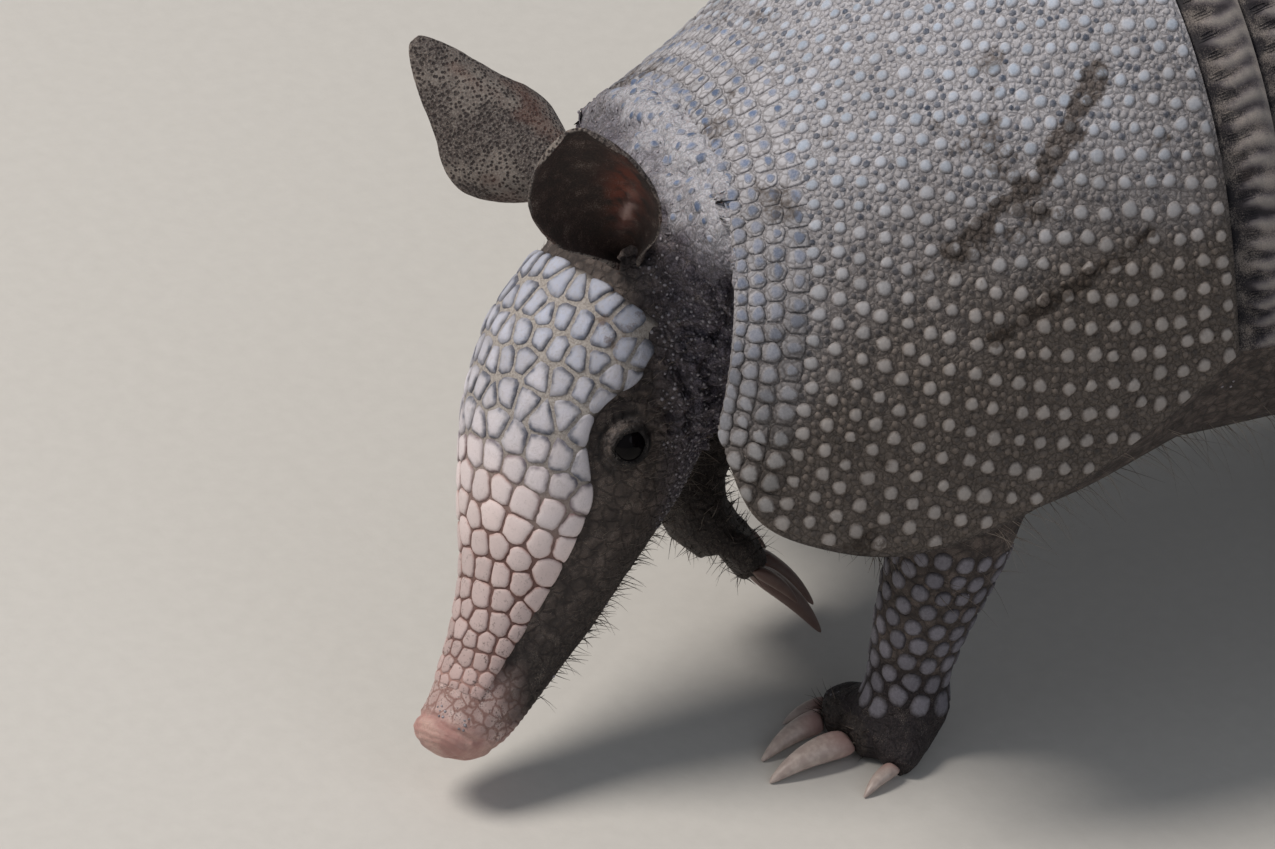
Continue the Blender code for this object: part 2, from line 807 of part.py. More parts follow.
def centre_on_floor():
    """Moves everything so the origin is under the middle of the model's box."""
    bpy.context.view_layer.update()
    shown = [item for item in bpy.data.objects if not item.hide_render]
    corners = [item.matrix_world @ vertex.co for item in shown for vertex in item.data.vertices]
    low = Vector((min(c.x for c in corners), min(c.y for c in corners), 0))
    high = Vector((max(c.x for c in corners), max(c.y for c in corners), 0))
    shift = -(low + high) / 2
    for item in bpy.data.objects:
        item.location += shift
    bpy.context.view_layer.update()


def main():
    clear_scene()
    skin = make_material("skin", (0.16, 0.12, 0.11), 0.75)
    horn = make_material("scute_horn", (0.48, 0.44, 0.40), 0.6)
    ear_skin = make_material("ear_skin", (0.13, 0.10, 0.09), 0.7)
    eye_glass = make_material("eye", (0.01, 0.01, 0.012), 0.08)
    claw_horn = make_material("claw_horn", (0.60, 0.50, 0.42), 0.4)
    sockets = build_legs(skin)
    build_trunk(skin, sockets)
    build_shell(horn)
    outline = build_head(skin, horn, build_eyes(eye_glass))
    build_ear("ear_left", 1, ear_skin, outline)
    build_ear("ear_right", -1, ear_skin, outline)
    build_feet(skin, claw_horn)
    build_tail(horn)
    centre_on_floor()


main()
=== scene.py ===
import itertools
import math

import bmesh
import bpy
import numpy as np
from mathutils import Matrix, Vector, noise
from mathutils.bvhtree import BVHTree
from mathutils.kdtree import KDTree


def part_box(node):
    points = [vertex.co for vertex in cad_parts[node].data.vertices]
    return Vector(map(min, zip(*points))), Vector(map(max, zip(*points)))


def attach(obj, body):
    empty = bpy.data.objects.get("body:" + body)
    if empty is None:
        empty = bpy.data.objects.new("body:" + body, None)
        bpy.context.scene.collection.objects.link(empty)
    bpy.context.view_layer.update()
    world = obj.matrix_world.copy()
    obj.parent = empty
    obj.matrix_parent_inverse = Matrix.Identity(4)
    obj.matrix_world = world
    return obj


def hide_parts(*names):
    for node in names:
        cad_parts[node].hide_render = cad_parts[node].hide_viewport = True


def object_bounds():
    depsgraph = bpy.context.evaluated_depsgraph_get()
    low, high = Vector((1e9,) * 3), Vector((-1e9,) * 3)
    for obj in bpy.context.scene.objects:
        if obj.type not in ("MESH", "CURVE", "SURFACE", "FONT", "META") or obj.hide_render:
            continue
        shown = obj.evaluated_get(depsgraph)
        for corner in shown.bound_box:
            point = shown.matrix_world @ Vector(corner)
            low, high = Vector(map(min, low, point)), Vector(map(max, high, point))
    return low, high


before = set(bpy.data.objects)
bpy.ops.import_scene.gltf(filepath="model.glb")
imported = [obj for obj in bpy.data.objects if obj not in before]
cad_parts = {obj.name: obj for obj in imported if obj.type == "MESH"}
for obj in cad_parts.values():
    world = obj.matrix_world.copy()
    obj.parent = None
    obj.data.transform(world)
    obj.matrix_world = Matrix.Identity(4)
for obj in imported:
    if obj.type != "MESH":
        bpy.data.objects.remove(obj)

mm = 0.001
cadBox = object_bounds()
chance = np.random.default_rng(11)

bpy.ops.object.select_all(action="DESELECT")


# Small tools

def linear(hexCode):
    parts = [int(hexCode[k:k + 2], 16) / 255 for k in (1, 3, 5)]
    return tuple(c / 12.92 if c <= 0.04045 else ((c + 0.055) / 1.055) ** 2.4 for c in parts) + (1.0,)


def addNode(tree, kind, settings=None, links=None):
    node = tree.nodes.new(kind)
    for name, value in (settings or {}).items():
        if name == "stops":  # positions and colours of a colour ramp
            ramp = node.color_ramp
            while len(ramp.elements) < len(value):
                ramp.elements.new(0.5)
            for element, (place, colour) in zip(ramp.elements, value):
                element.position = place
                element.color = colour if len(colour) == 4 else (*colour, 1.0)
        elif isinstance(name, str) and hasattr(node, name):
            setattr(node, name, value)
        else:
            node.inputs[name].default_value = value
    for name, socket in (links or {}).items():
        tree.links.new(socket, node.inputs[name])
    return node


def newMaterial(name):
    material = bpy.data.materials.new(name)
    material.use_nodes = True
    material.node_tree.nodes.clear()
    return material, material.node_tree


def smooth(edgeLow, edgeHigh, value):
    t = np.clip((np.asarray(value, float) - edgeLow) / (edgeHigh - edgeLow), 0, 1)
    return t * t * (3 - 2 * t)


def bell(value, width):
    return np.exp(-(value / width) ** 2)


def plateau(value, begin, full, still, end):
    # rises from 0 to 1, stays there, and falls back to 0
    return smooth(begin, full, value) * (1 - smooth(still, end, value))


def unit(vectors):
    return vectors / np.maximum(np.linalg.norm(vectors, axis=-1, keepdims=True), 1e-12)


def lengthOf(vectors):
    return np.linalg.norm(vectors, axis=-1)


def anglesOf(count):
    # directions spread evenly around a full turn
    return np.arange(count) * 2 * math.pi / count


def noiseAt(points, size, octaves=3, offset=0.0):
    # fractal noise, about -1 to 1, whose coarsest lumps are size metres across
    spot = Vector((offset, offset * 1.7, -offset))
    return np.array([noise.fractal(Vector(p) / size + spot, 1.0, 2.0, octaves) for p in points])


def newPiece(name, data):
    piece = bpy.data.objects.new(name, data)
    bpy.context.scene.collection.objects.link(piece)
    return piece


def makeMesh(name, points, polygons, material):
    # polygons is a list of arrays, one array for each number of corners
    mesh = bpy.data.meshes.new(name)
    sizes = np.concatenate([np.full(len(p), p.shape[1]) for p in polygons])
    corners = np.concatenate([p.ravel() for p in polygons])
    mesh.vertices.add(len(points))
    mesh.vertices.foreach_set("co", np.asarray(points, np.float32).ravel())
    mesh.loops.add(len(corners))
    mesh.loops.foreach_set("vertex_index", corners.astype(np.int32))
    mesh.polygons.add(len(sizes))
    starts = np.concatenate([[0], np.cumsum(sizes)[:-1]])
    mesh.polygons.foreach_set("loop_start", starts.astype(np.int32))
    mesh.update(calc_edges=True)
    mesh.shade_smooth()
    mesh.materials.append(material)
    return newPiece(name, mesh)


def addBakeMap(piece, corners):
    # corners holds a place in the bake map for every corner of every face
    bakeMap = piece.data.uv_layers.new(name="OFBake")
    bakeMap.data.foreach_set("uv", corners.astype(np.float32).ravel())


def setAttribute(piece, name, values):
    attribute = piece.data.attributes.get(name) or piece.data.attributes.new(name, "FLOAT", "POINT")
    attribute.data.foreach_set("value", np.asarray(values, np.float32).ravel())


def pointsOf(piece):
    flat = np.zeros(len(piece.data.vertices) * 3)
    piece.data.vertices.foreach_get("co", flat)
    return flat.reshape(-1, 3)


def movePoints(piece, points):
    piece.data.vertices.foreach_set("co", np.asarray(points, np.float32).ravel())
    piece.data.update()


def normalsOf(piece):
    flat = np.zeros(len(piece.data.vertices) * 3, np.float32)
    piece.data.vertex_normals.foreach_get("vector", flat)
    return flat.reshape(-1, 3).astype(float)


def surfaceOf(piece):
    # what tiles need to settle on a piece: a search tree and a smooth normal for each face
    points = pointsOf(piece)
    normals = normalsOf(piece)
    faces = [tuple(p.vertices) for p in piece.data.polygons]
    faceNormals = np.array([normals[list(f)].mean(0) for f in faces])
    return BVHTree.FromPolygons(points.tolist(), faces), unit(faceNormals)


def searchTree(points):
    # finds the nearest of some points, in space or in the plane of a sheet
    tree = KDTree(len(points))
    for k, point in enumerate(points):
        tree.insert(Vector(point).to_3d(), k)
    tree.balance()
    return tree


def gridFaces(rows, columns):
    # the numbers of a grid's points, and the corners of its cells
    index = np.arange(rows * columns).reshape(rows, columns)
    cells = np.stack([index[:-1, :-1], index[:-1, 1:], index[1:, 1:], index[1:, :-1]], -1)
    return index, cells.reshape(-1, 4)


def gridSurface(table):
    cells = gridFaces(*table.shape[:2])[1]
    return BVHTree.FromPolygons(table.reshape(-1, 3).tolist(), cells.tolist())


def settle(points, surface):
    tree, faceNormals = surface
    places = np.array(points, float)
    normals = np.zeros_like(places)
    for k, point in enumerate(points):
        place, _, index, _ = tree.find_nearest(Vector(point))
        places[k] = place
        normals[k] = faceNormals[index]
    return places, normals


# Sheets: the smooth surface of a plate, read from the grid of points in its solid

sheetSettings = {
    "sideAngle": 34,     # degrees between faces that belong to different sides of a plate
    "mergeDistance": 0.01 * mm,
}


def mergedNode(node):
    work = bmesh.new()
    work.from_mesh(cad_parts[node].data)
    bmesh.ops.remove_doubles(work, verts=work.verts, dist=sheetSettings["mergeDistance"])
    work.normal_update()
    return work


def pieceFrom(work, name):
    mesh = bpy.data.meshes.new(name)
    work.to_mesh(mesh)
    work.free()
    return newPiece(name, mesh)


def plateSides(work):
    # a plate's outer and inner sides, each a patch of faces that meet at flat angles
    limit = math.radians(sheetSettings["sideAngle"])
    patches = []
    seen = set()
    for face in work.faces:
        if face in seen:
            continue
        patch = []
        queue = [face]
        seen.add(face)
        while queue:
            current = queue.pop()
            patch.append(current)
            for edge in current.edges:
                if edge.calc_face_angle(math.pi) < limit:
                    fresh = [other for other in edge.link_faces if other not in seen]
                    seen.update(fresh)
                    queue.extend(fresh)
        patches.append(patch)
    patches.sort(key=lambda patch: -sum(face.calc_area() for face in patch))
    middle = sum((v.co for v in work.verts), Vector()) / len(work.verts)
    def openness(patch):
        return sum((f.calc_center_median() - middle).dot(f.normal) * f.calc_area() for f in patch)
    return sorted(patches[:2], key=openness, reverse=True)


def layersFrom(start, edges):
    # steps from a side of the grid to each of its points
    steps = {vertex: 0 for vertex in start}
    front = list(start)
    while front:
        following = []
        for vertex in front:
            for other in edges[vertex]:
                if other not in steps:
                    steps[other] = steps[vertex] + 1
                    following.append(other)
        front = following
    return steps


def gridOf(patch, frontKey, rightKey):
    # puts the points of a patch in rows from its front side and in columns from its right side
    inside = set(patch)
    count = {}
    edges = {}
    rim = {}
    for face in patch:
        for vertex in face.verts:
            count[vertex] = count.get(vertex, 0) + 1
        for edge in face.edges:
            a, b = edge.verts
            edges.setdefault(a, set()).add(b)
            edges.setdefault(b, set()).add(a)
            if sum(other in inside for other in edge.link_faces) == 1:
                rim.setdefault(a, []).append(b)
                rim.setdefault(b, []).append(a)
    loop = [next(vertex for vertex in rim if count[vertex] <= 2)]
    before = None
    while True:
        following = [vertex for vertex in rim[loop[-1]] if vertex is not before][0]
        if following is loop[0]:
            break
        before = loop[-1]
        loop.append(following)
    corners = [k for k, vertex in enumerate(loop) if count[vertex] <= 2]
    corners.append(len(loop))
    closed = loop + loop[:1]
    sides = [closed[corners[k]:corners[k + 1] + 1] for k in range(4)]
    def meanOf(side, key):
        return sum(key(vertex.co) for vertex in side) / len(side)
    rows = layersFrom(min(sides, key=lambda side: meanOf(side, frontKey)), edges)
    columns = layersFrom(min(sides, key=lambda side: meanOf(side, rightKey)), edges)
    grid = np.zeros((max(rows.values()) + 1, max(columns.values()) + 1, 3))
    for vertex in count:
        grid[rows[vertex], columns[vertex]] = vertex.co
    return grid


def spline(knots, values, at):
    # natural cubic through the values along their first axis
    flat = values.reshape(len(knots), -1)
    step = np.diff(knots)
    system = np.eye(len(knots))
    right = np.zeros_like(flat)
    for i in range(1, len(knots) - 1):
        system[i, i - 1:i + 2] = step[i - 1], 2 * (step[i - 1] + step[i]), step[i]
        right[i] = 6 * ((flat[i + 1] - flat[i]) / step[i] - (flat[i] - flat[i - 1]) / step[i - 1])
    bend = np.linalg.solve(system, right)
    k = np.clip(np.searchsorted(knots, at, "right") - 1, 0, len(knots) - 2)
    h = step[k][:, None]
    t = (at - knots[k])[:, None]
    s = h - t
    fine = (bend[k] * s ** 3 + bend[k + 1] * t ** 3) / (6 * h)
    fine += (flat[k] / h - bend[k] * h / 6) * s + (flat[k + 1] / h - bend[k + 1] * h / 6) * t
    return fine.reshape((len(at),) + values.shape[1:])


def knotsAlong(grid):
    lengths = lengthOf(np.diff(grid, axis=0)).mean(axis=1)
    knots = np.concatenate([[0], np.cumsum(lengths)])
    return knots / knots[-1]


def fineGrid(grid, rows, columns):
    fine = spline(knotsAlong(grid), grid, np.linspace(0, 1, rows))
    across = fine.swapaxes(0, 1)
    fine = spline(knotsAlong(grid.swapaxes(0, 1)), across, np.linspace(0, 1, columns))
    return fine.swapaxes(0, 1)


def sheetFrom(table):
    # u runs from the front to the rear, v from the right over the top to the left
    alongU = np.gradient(table, axis=0)
    alongV = np.gradient(table, axis=1)
    return {
        "table": table,
        "normals": unit(np.cross(alongV, alongU)),
        "alongU": unit(alongU),
        "alongV": unit(alongV),
        "stretchU": np.linalg.norm(alongU, axis=2, keepdims=True) * (table.shape[0] - 1),
        "stretchV": np.linalg.norm(alongV, axis=2, keepdims=True) * (table.shape[1] - 1),
        "lengthU": lengthOf(np.diff(table, axis=0)).sum(axis=0).mean(),
        "lengthV": lengthOf(np.diff(table, axis=1)).sum(axis=1).mean(),
    }


def onSheet(sheet, key, u, v):
    table = sheet[key]
    x = np.clip(u, 0, 1) * (table.shape[0] - 1)
    y = np.clip(v, 0, 1) * (table.shape[1] - 1)
    i = np.minimum(x.astype(int), table.shape[0] - 2)
    j = np.minimum(y.astype(int), table.shape[1] - 2)
    x = (x - i)[..., None]
    y = (y - j)[..., None]
    low = table[i, j] * (1 - y) + table[i, j + 1] * y
    high = table[i + 1, j] * (1 - y) + table[i + 1, j + 1] * y
    return low * (1 - x) + high * x


def plateSheet(node, spacing, frontKey=lambda p: p.y, rightKey=lambda p: p.x, across=None):
    work = mergedNode(node)
    outer = gridOf(plateSides(work)[0], frontKey, rightKey)
    work.free()
    rough = sheetFrom(outer)
    rows = max(6, round(rough["lengthU"] / spacing))
    columns = round(rough["lengthV"] / (across or spacing))
    return sheetFrom(fineGrid(outer, rows, columns))


def edgeDistance(sheet):
    # metres from each point of the sheet's table to the nearest of its four sides
    rows, columns = sheet["table"].shape[:2]
    u = np.linspace(0, 1, rows)[:, None] * sheet["lengthU"] + np.zeros((1, columns))
    v = np.linspace(0, 1, columns)[None, :] * sheet["lengthV"] + np.zeros((rows, 1))
    return np.minimum(np.minimum(u, sheet["lengthU"] - u), np.minimum(v, sheet["lengthV"] - v))


# where the sides of a plate lie in its bake map: room for u, room for v, and where each starts
bakeRoom = {
    "top": ((0.96, 0.46), (0.01, 0.01)),
    "under": ((0.96, 0.44), (0.01, 0.51)),
    "rim": (0.965, 0.985),
}


def plateBody(name, outer, thickness, sink, rounding, material, relief, rimShare=0.5, rimSink=0.0):
    # the plate under its scutes: its outer side lowered by sink, its rims rounded;
    # rimShare says how far down the plate's thickness the rim lies
    distance = edgeDistance(outer)
    thickness = thickness - sink
    reach = np.clip(1 - distance / rounding, 0, 1)
    curve = 1 - np.sqrt(1 - reach ** 2)
    lift = -sink - (thickness * rimShare + rimSink) * curve
    lift = lift + relief * (1 - reach)
    depth = sink + thickness - (thickness * (1 - rimShare) - rimSink) * curve
    top = outer["table"] + outer["normals"] * lift[..., None]
    under = outer["table"] - outer["normals"] * depth[..., None]
    rows, columns = distance.shape
    index, topFaces = gridFaces(rows, columns)
    shift = rows * columns
    underFaces = topFaces[:, ::-1] + shift
    border = np.concatenate([index[0, :], index[1:, -1], index[-1, -2::-1], index[-2:0:-1, 0]])
    following = np.roll(border, -1)
    rimFaces = np.stack([following, border, border + shift, following + shift], -1)
    points = np.concatenate([top.reshape(-1, 3), under.reshape(-1, 3)])
    piece = makeMesh(name, points, [np.concatenate([topFaces, underFaces, rimFaces])], material)
    u, v = np.meshgrid(np.linspace(0, 1, rows), np.linspace(0, 1, columns), indexing="ij")
    place = np.stack([u.ravel(), v.ravel()], -1)
    places = np.concatenate([place * room + start for room, start in (bakeRoom["top"], bakeRoom["under"])])
    corner = np.zeros(len(piece.data.loops), np.int32)
    piece.data.loops.foreach_get("vertex_index", corner)
    spots = places[corner]
    rimStart = (len(topFaces) + len(underFaces)) * 4
    length, start = bakeRoom["top"][0][0], bakeRoom["top"][1][0]
    rimSpots = np.tile(np.arange(len(rimFaces))[:, None] / len(rimFaces), (1, 4)) * length + start
    rimSpots[:, [0, 3]] += length / len(rimFaces)
    spots[rimStart:, 0] = rimSpots.ravel()
    spots[rimStart:, 1] = np.tile(np.repeat(bakeRoom["rim"], 2), len(rimFaces))
    addBakeMap(piece, spots)
    return piece


# Scutes: low horny tiles that settle on a surface

def cellOutlines(seeds, size, caps, gap, crispness):
    # how far each tile may reach in each direction before it meets its neighbours' tiles or its own cap
    points, normals, along = seeds["point"], seeds["normal"], seeds["along"]
    count, directions = caps.shape
    angles = anglesOf(directions)
    across = np.cross(normals, along)
    tree = searchTree(points)
    reach = size.max() * 2.6  # no neighbour beyond this can touch a tile
    gaps = np.broadcast_to(gap, (count,))
    total = caps ** -crispness
    for k in range(count):
        found = [other for _, other, _ in tree.find_range(Vector(points[k]), reach) if other != k]
        if not found:
            continue
        away = points[found] - points[k]
        a = away @ along[k]
        b = away @ across[k]
        length = np.hypot(a, b) + 1e-9
        wall = length / 2 + (size[k] ** 2 - size[found] ** 2) / (2 * length)
        wall = np.maximum(wall - gaps[k] / 2, 0.12 * size[k])
        facing = np.cos(angles[None, :] - np.arctan2(b, a)[:, None])
        total[k] += ((np.maximum(facing, 0) / wall[:, None]) ** crispness).sum(axis=0)
    reachOut = total ** (-1 / crispness)
    return np.stack([reachOut * np.cos(angles), reachOut * np.sin(angles)], -1)


# rings of a tile from its rim inward: share of its width, how far sunk in mm, how near the crest,
# share of its height
roundTile = ((1.0, -0.14, 0.0, 0.0), (0.88, 0.0, 0.25, 0.46), (0.64, 0.0, 0.62, 0.82),
             (0.32, 0.0, 0.92, 0.98))
smallTile = ((1.0, -0.12, 0.0, 0.0), (0.7, 0.0, 0.6, 0.72))
pillowTile = ((1.0, -0.16, 0.0, 0.0), (0.95, 0.0, 0.14, 0.4), (0.82, 0.0, 0.4, 0.74),
              (0.6, 0.0, 0.74, 0.93), (0.3, 0.0, 0.95, 1.0))
flatTile = ((1.0, -0.16, 0.0, 0.0), (0.95, 0.0, 0.3, 0.6), (0.8, 0.0, 0.75, 0.9), (0.5, 0.0, 0.95, 0.99))


# the tiles' faces fill this much of the bake map, and their undersides get a strip at its top
tileBakeRoom = (0.98, 0.88)


def layTiles(name, seeds, outlines, rings, surface, material, slant=0.0):
    # seeds hold point, normal, along, height, tone and the bake map's place and span, a row for each tile;
    # slant raises the rear of a tile by that share of its height; without a surface the tiles stay flat
    count, corners = outlines.shape[:2]
    across = np.cross(seeds["normal"], seeds["along"])
    levels = len(rings)
    shares = np.array([ring[0] for ring in rings])
    flat = outlines[:, None, :, :] * shares[None, :, None, None]
    flat = np.concatenate([flat.reshape(count, levels * corners, 2), np.zeros((count, 1, 2))], axis=1)
    spots = seeds["point"][:, None, :] + seeds["along"][:, None, :] * flat[..., :1]
    spots = spots + across[:, None, :] * flat[..., 1:]
    if surface is None:
        normals = np.repeat(seeds["normal"][:, None, :], flat.shape[1], axis=1)
    else:
        places, normals = settle(spots.reshape(-1, 3), surface)
        spots = places.reshape(spots.shape)
        normals = normals.reshape(spots.shape)
    sunk, crest, domed = (np.append(np.repeat([ring[part] for ring in rings], corners), middle)
                          for part, middle in ((1, 0.0), (2, 1.0), (3, 1.0)))
    sunk = sunk * mm
    fore = flat[..., 0] / np.abs(outlines[:, :, 0]).max(axis=1)[:, None]
    rise = sunk[None, :] + seeds["height"][:, None] * domed[None, :] * (1 + slant * fore)
    rise = rise + seeds.get("lift", np.zeros(count))[:, None]
    spots = spots + normals * rise[..., None]
    perTile = levels * corners + 1
    base = np.arange(count)[:, None] * perTile
    k = np.arange(corners)
    following = (k + 1) % corners
    quads = []
    for level in range(levels - 1):
        low = level * corners
        quads.append(np.stack([low + k, low + following, low + corners + following, low + corners + k], -1))
    quads = np.concatenate(quads)
    last = (levels - 1) * corners
    fan = np.stack([last + k, last + following, np.full(corners, perTile - 1)], -1)
    bottom = k[::-1][None, :]
    polygons = [(base[..., None] + part[None]).reshape(-1, part.shape[1]) for part in (quads, fan, bottom)]
    piece = makeMesh(name, spots.reshape(-1, 3), polygons, material)
    setAttribute(piece, "tone", np.repeat(seeds["tone"], perTile))
    setAttribute(piece, "crest", np.tile(crest, count))
    setAttribute(piece, "fore", fore)
    local = seeds["bakePlace"][:, None, :] + flat * seeds["bakeSpan"][:, None, :]
    local = np.clip(local, 0.0, 1.0).reshape(-1, 2)
    corner = np.concatenate([part.ravel() for part in polygons])
    spots = local[corner] * tileBakeRoom + (0.01, 0.01)
    bottomStart = len(corner) - count * corners
    spots[bottomStart:, 1] = local[corner[bottomStart:], 1] * 0.07 + 0.92
    addBakeMap(piece, spots)
    return piece


def seedsOnSheet(sheet, u, v, height, tone):
    count = len(u)
    return {
        "point": onSheet(sheet, "table", u, v),
        "normal": unit(onSheet(sheet, "normals", u, v)),
        "along": unit(onSheet(sheet, "alongU", u, v)),
        "height": np.broadcast_to(height, (count,)).astype(float),
        "tone": np.broadcast_to(tone, (count,)).astype(float),
        "bakePlace": np.stack([u, v], -1),
        "bakeSpan": np.tile([1 / sheet["lengthU"], 1 / sheet["lengthV"]], (count, 1)),
    }


# Materials

def attributeOf(tree, name):
    return addNode(tree, "ShaderNodeAttribute", {"attribute_name": name}).outputs["Fac"]


def ownSpace(tree):
    return addNode(tree, "ShaderNodeTexCoord").outputs["Object"]


def noiseNode(tree, size, detail=4, roughness=0.55):
    # lumps about size metres across, in the piece's own space
    settings = {"Scale": 1 / size, "Detail": detail, "Roughness": roughness}
    return addNode(tree, "ShaderNodeTexNoise", settings, {"Vector": ownSpace(tree)}).outputs["Fac"]


def crackNode(tree, size, wander=0.3):
    # cells about size metres across; the value is 0 on the cracks between them and rises inward
    place = ownSpace(tree)
    drift = addNode(tree, "ShaderNodeTexNoise", {"Scale": 1 / size, "Detail": 2}, {"Vector": place})
    drift = addNode(tree, "ShaderNodeVectorMath", {"operation": "SCALE", "Scale": 2 * wander * size},
                    {0: drift.outputs["Color"]})
    moved = addNode(tree, "ShaderNodeVectorMath", {"operation": "ADD"}, {0: place, 1: drift.outputs[0]})
    cells = addNode(tree, "ShaderNodeTexVoronoi", {"feature": "DISTANCE_TO_EDGE", "Scale": 1 / size},
                    {"Vector": moved.outputs[0]})
    return cells.outputs["Distance"]


def ranged(tree, value, low, high, toLow=0.0, toHigh=1.0):
    # a soft step from toLow to toHigh while the value goes from low to high
    numbers = {1: low, 2: high, 3: toLow, 4: toHigh}
    settings = {k: v for k, v in numbers.items() if isinstance(v, (int, float))}
    settings["interpolation_type"] = "SMOOTHSTEP"
    links = {k: v for k, v in numbers.items() if k not in settings}
    links["Value"] = value
    return addNode(tree, "ShaderNodeMapRange", settings, links).outputs["Result"]


def calculated(tree, operation, a, b):
    links = {k: v for k, v in ((0, a), (1, b)) if not isinstance(v, (int, float))}
    settings = {k: v for k, v in ((0, a), (1, b)) if isinstance(v, (int, float))}
    settings["operation"] = operation
    return addNode(tree, "ShaderNodeMath", settings, links).outputs[0]


def plus(tree, a, b):
    return calculated(tree, "ADD", a, b)


def minus(tree, a, b):
    return calculated(tree, "SUBTRACT", a, b)


def times(tree, a, b):
    return calculated(tree, "MULTIPLY", a, b)


def mixed(tree, factor, a, b, blend="MIX"):
    settings = {"data_type": "RGBA", "blend_type": blend}
    links = {}
    for index, value in ((0, factor), (6, a), (7, b)):
        if isinstance(value, (int, float, tuple)):
            settings[index] = value
        elif isinstance(value, str):
            settings[index] = linear(value)
        else:
            links[index] = value
    return addNode(tree, "ShaderNodeMix", settings, links).outputs[2]


def patched(tree, pattern, low, high, a, b):
    # colour a where the pattern is below low, colour b where it is above high
    return mixed(tree, ranged(tree, pattern, low, high), a, b)


def shaded(tree, colour, shade):
    # a colour made darker or lighter by a number
    grey = addNode(tree, "ShaderNodeCombineColor", {}, {0: shade, 1: shade, 2: shade}).outputs[0]
    return mixed(tree, 1.0, colour, grey, "MULTIPLY")


def colourAlong(tree, value, stops):
    stops = [(place, linear(colour)) for place, colour in stops]
    return addNode(tree, "ShaderNodeValToRGB", {"stops": stops}, {"Fac": value}).outputs["Color"]


def finishSurface(tree, colour, roughness, height=None, depth=0.05 * mm, extra=None):
    links = {"Base Color": colour}
    settings = dict(extra or {})
    if isinstance(roughness, (int, float)):
        settings["Roughness"] = roughness
    else:
        links["Roughness"] = roughness
    if height is not None:
        bump = addNode(tree, "ShaderNodeBump", {"Strength": 1.0, "Distance": depth}, {"Height": height})
        links["Normal"] = bump.outputs["Normal"]
    surface = addNode(tree, "ShaderNodeBsdfPrincipled", settings, links)
    addNode(tree, "ShaderNodeOutputMaterial", {}, {"Surface": surface.outputs["BSDF"]})


def hornMaterial(name, upper, lower, spread=0.12, dustUpper=0.55, dustLower=0.1, roughness=0.62,
                 relief=0.12 * mm, cracks=None, toneDust=0.0):
    # keratin horn over bone, dull and slightly crumbly, with dust in its low places: upper and lower are
    # (crest colour, rim colour) for the back and for the flanks, the back's paler and bluer partly as
    # painted light and the flanks' darker partly as painted shade; cracks are (size, strength, depth)
    material, tree = newMaterial(name)
    low, mud = attributeOf(tree, "low"), attributeOf(tree, "mud")
    tone, crest = attributeOf(tree, "tone"), attributeOf(tree, "crest")
    blotch = noiseNode(tree, 1.1 * mm, 3)
    fine = noiseNode(tree, 0.5 * mm, 5, 0.75)
    edge = plus(tree, crest, times(tree, minus(tree, blotch, 0.5), 0.6))  # a ragged border for the crest
    onTop = ranged(tree, edge, 0.12, 0.8)
    back = mixed(tree, onTop, upper[1], upper[0])
    flank = mixed(tree, onTop, lower[1], lower[0])
    # low mixes in the flanks' colours, darker partly as painted shade
    colour = mixed(tree, low, back, flank)
    lightness = plus(tree, times(tree, tone, 0.5), times(tree, blotch, 0.6))
    colour = shaded(tree, colour, ranged(tree, lightness, -0.3, 1.0, 1 - spread * 1.6, 1 + spread))
    # dust lies in the low places and in patches
    patches = noiseNode(tree, 6 * mm, 3)
    lying = minus(tree, plus(tree, patches, fine), times(tree, crest, 0.3))
    lying = plus(tree, lying, times(tree, tone, 0.13))
    amount = ranged(tree, low, 0.0, 1.0, dustUpper, dustLower)
    dusty = times(tree, ranged(tree, lying, 0.55, 1.0), amount)
    if toneDust:  # only some are clean
        dusty = calculated(tree, "MAXIMUM", dusty, ranged(tree, tone, -0.1, 0.35, toneDust, 0.0))
    # the dust is darker on the flanks: painted shade
    colour = mixed(tree, dusty, colour, mixed(tree, low, "#BEBCC1", "#766C65"))
    # crumbs: the same noise as the bump, painted shade in its hollows and painted light on its grains
    crumbLightAndShade = ranged(tree, fine, 0.34, 0.66, 0.7, 1.22)
    hollow = minus(tree, 1.0, times(tree, crest, 0.6))
    colour = mixed(tree, hollow, colour, shaded(tree, colour, crumbLightAndShade))
    height = times(tree, fine, relief / mm)
    if cracks:
        size, strength, depth = cracks
        inward = crackNode(tree, size)
        crack = times(tree, ranged(tree, inward, 0.015, 0.13, 1.0, 0.0), strength)
        # the cracks are darker on the flanks: painted shade
        colour = mixed(tree, crack, colour, mixed(tree, low, "#6B6566", "#332C28"))
        height = plus(tree, height, times(tree, ranged(tree, inward, 0.0, 0.3), depth / mm))
    ragged = plus(tree, minus(tree, fine, 0.5), minus(tree, blotch, 0.5))
    mudHere = plus(tree, mud, times(tree, ragged, 0.75))  # dried mud with a ragged border
    stained = mixed(tree, 1.0, colour, patched(tree, fine, 0.35, 0.65, "#827A75", "#BDB6B0"), "MULTIPLY")
    # the mud is darker on the flanks: painted shade
    stained = mixed(tree, 0.3, stained, mixed(tree, low, "#655A52", "#3C342E"))
    colour = patched(tree, mudHere, 0.4, 0.75, colour, stained)
    rough = ranged(tree, dusty, 0.0, 1.0, roughness, 0.92)
    finishSurface(tree, colour, rough, height, 1.0 * mm, {"Specular IOR Level": 0.3})
    return material
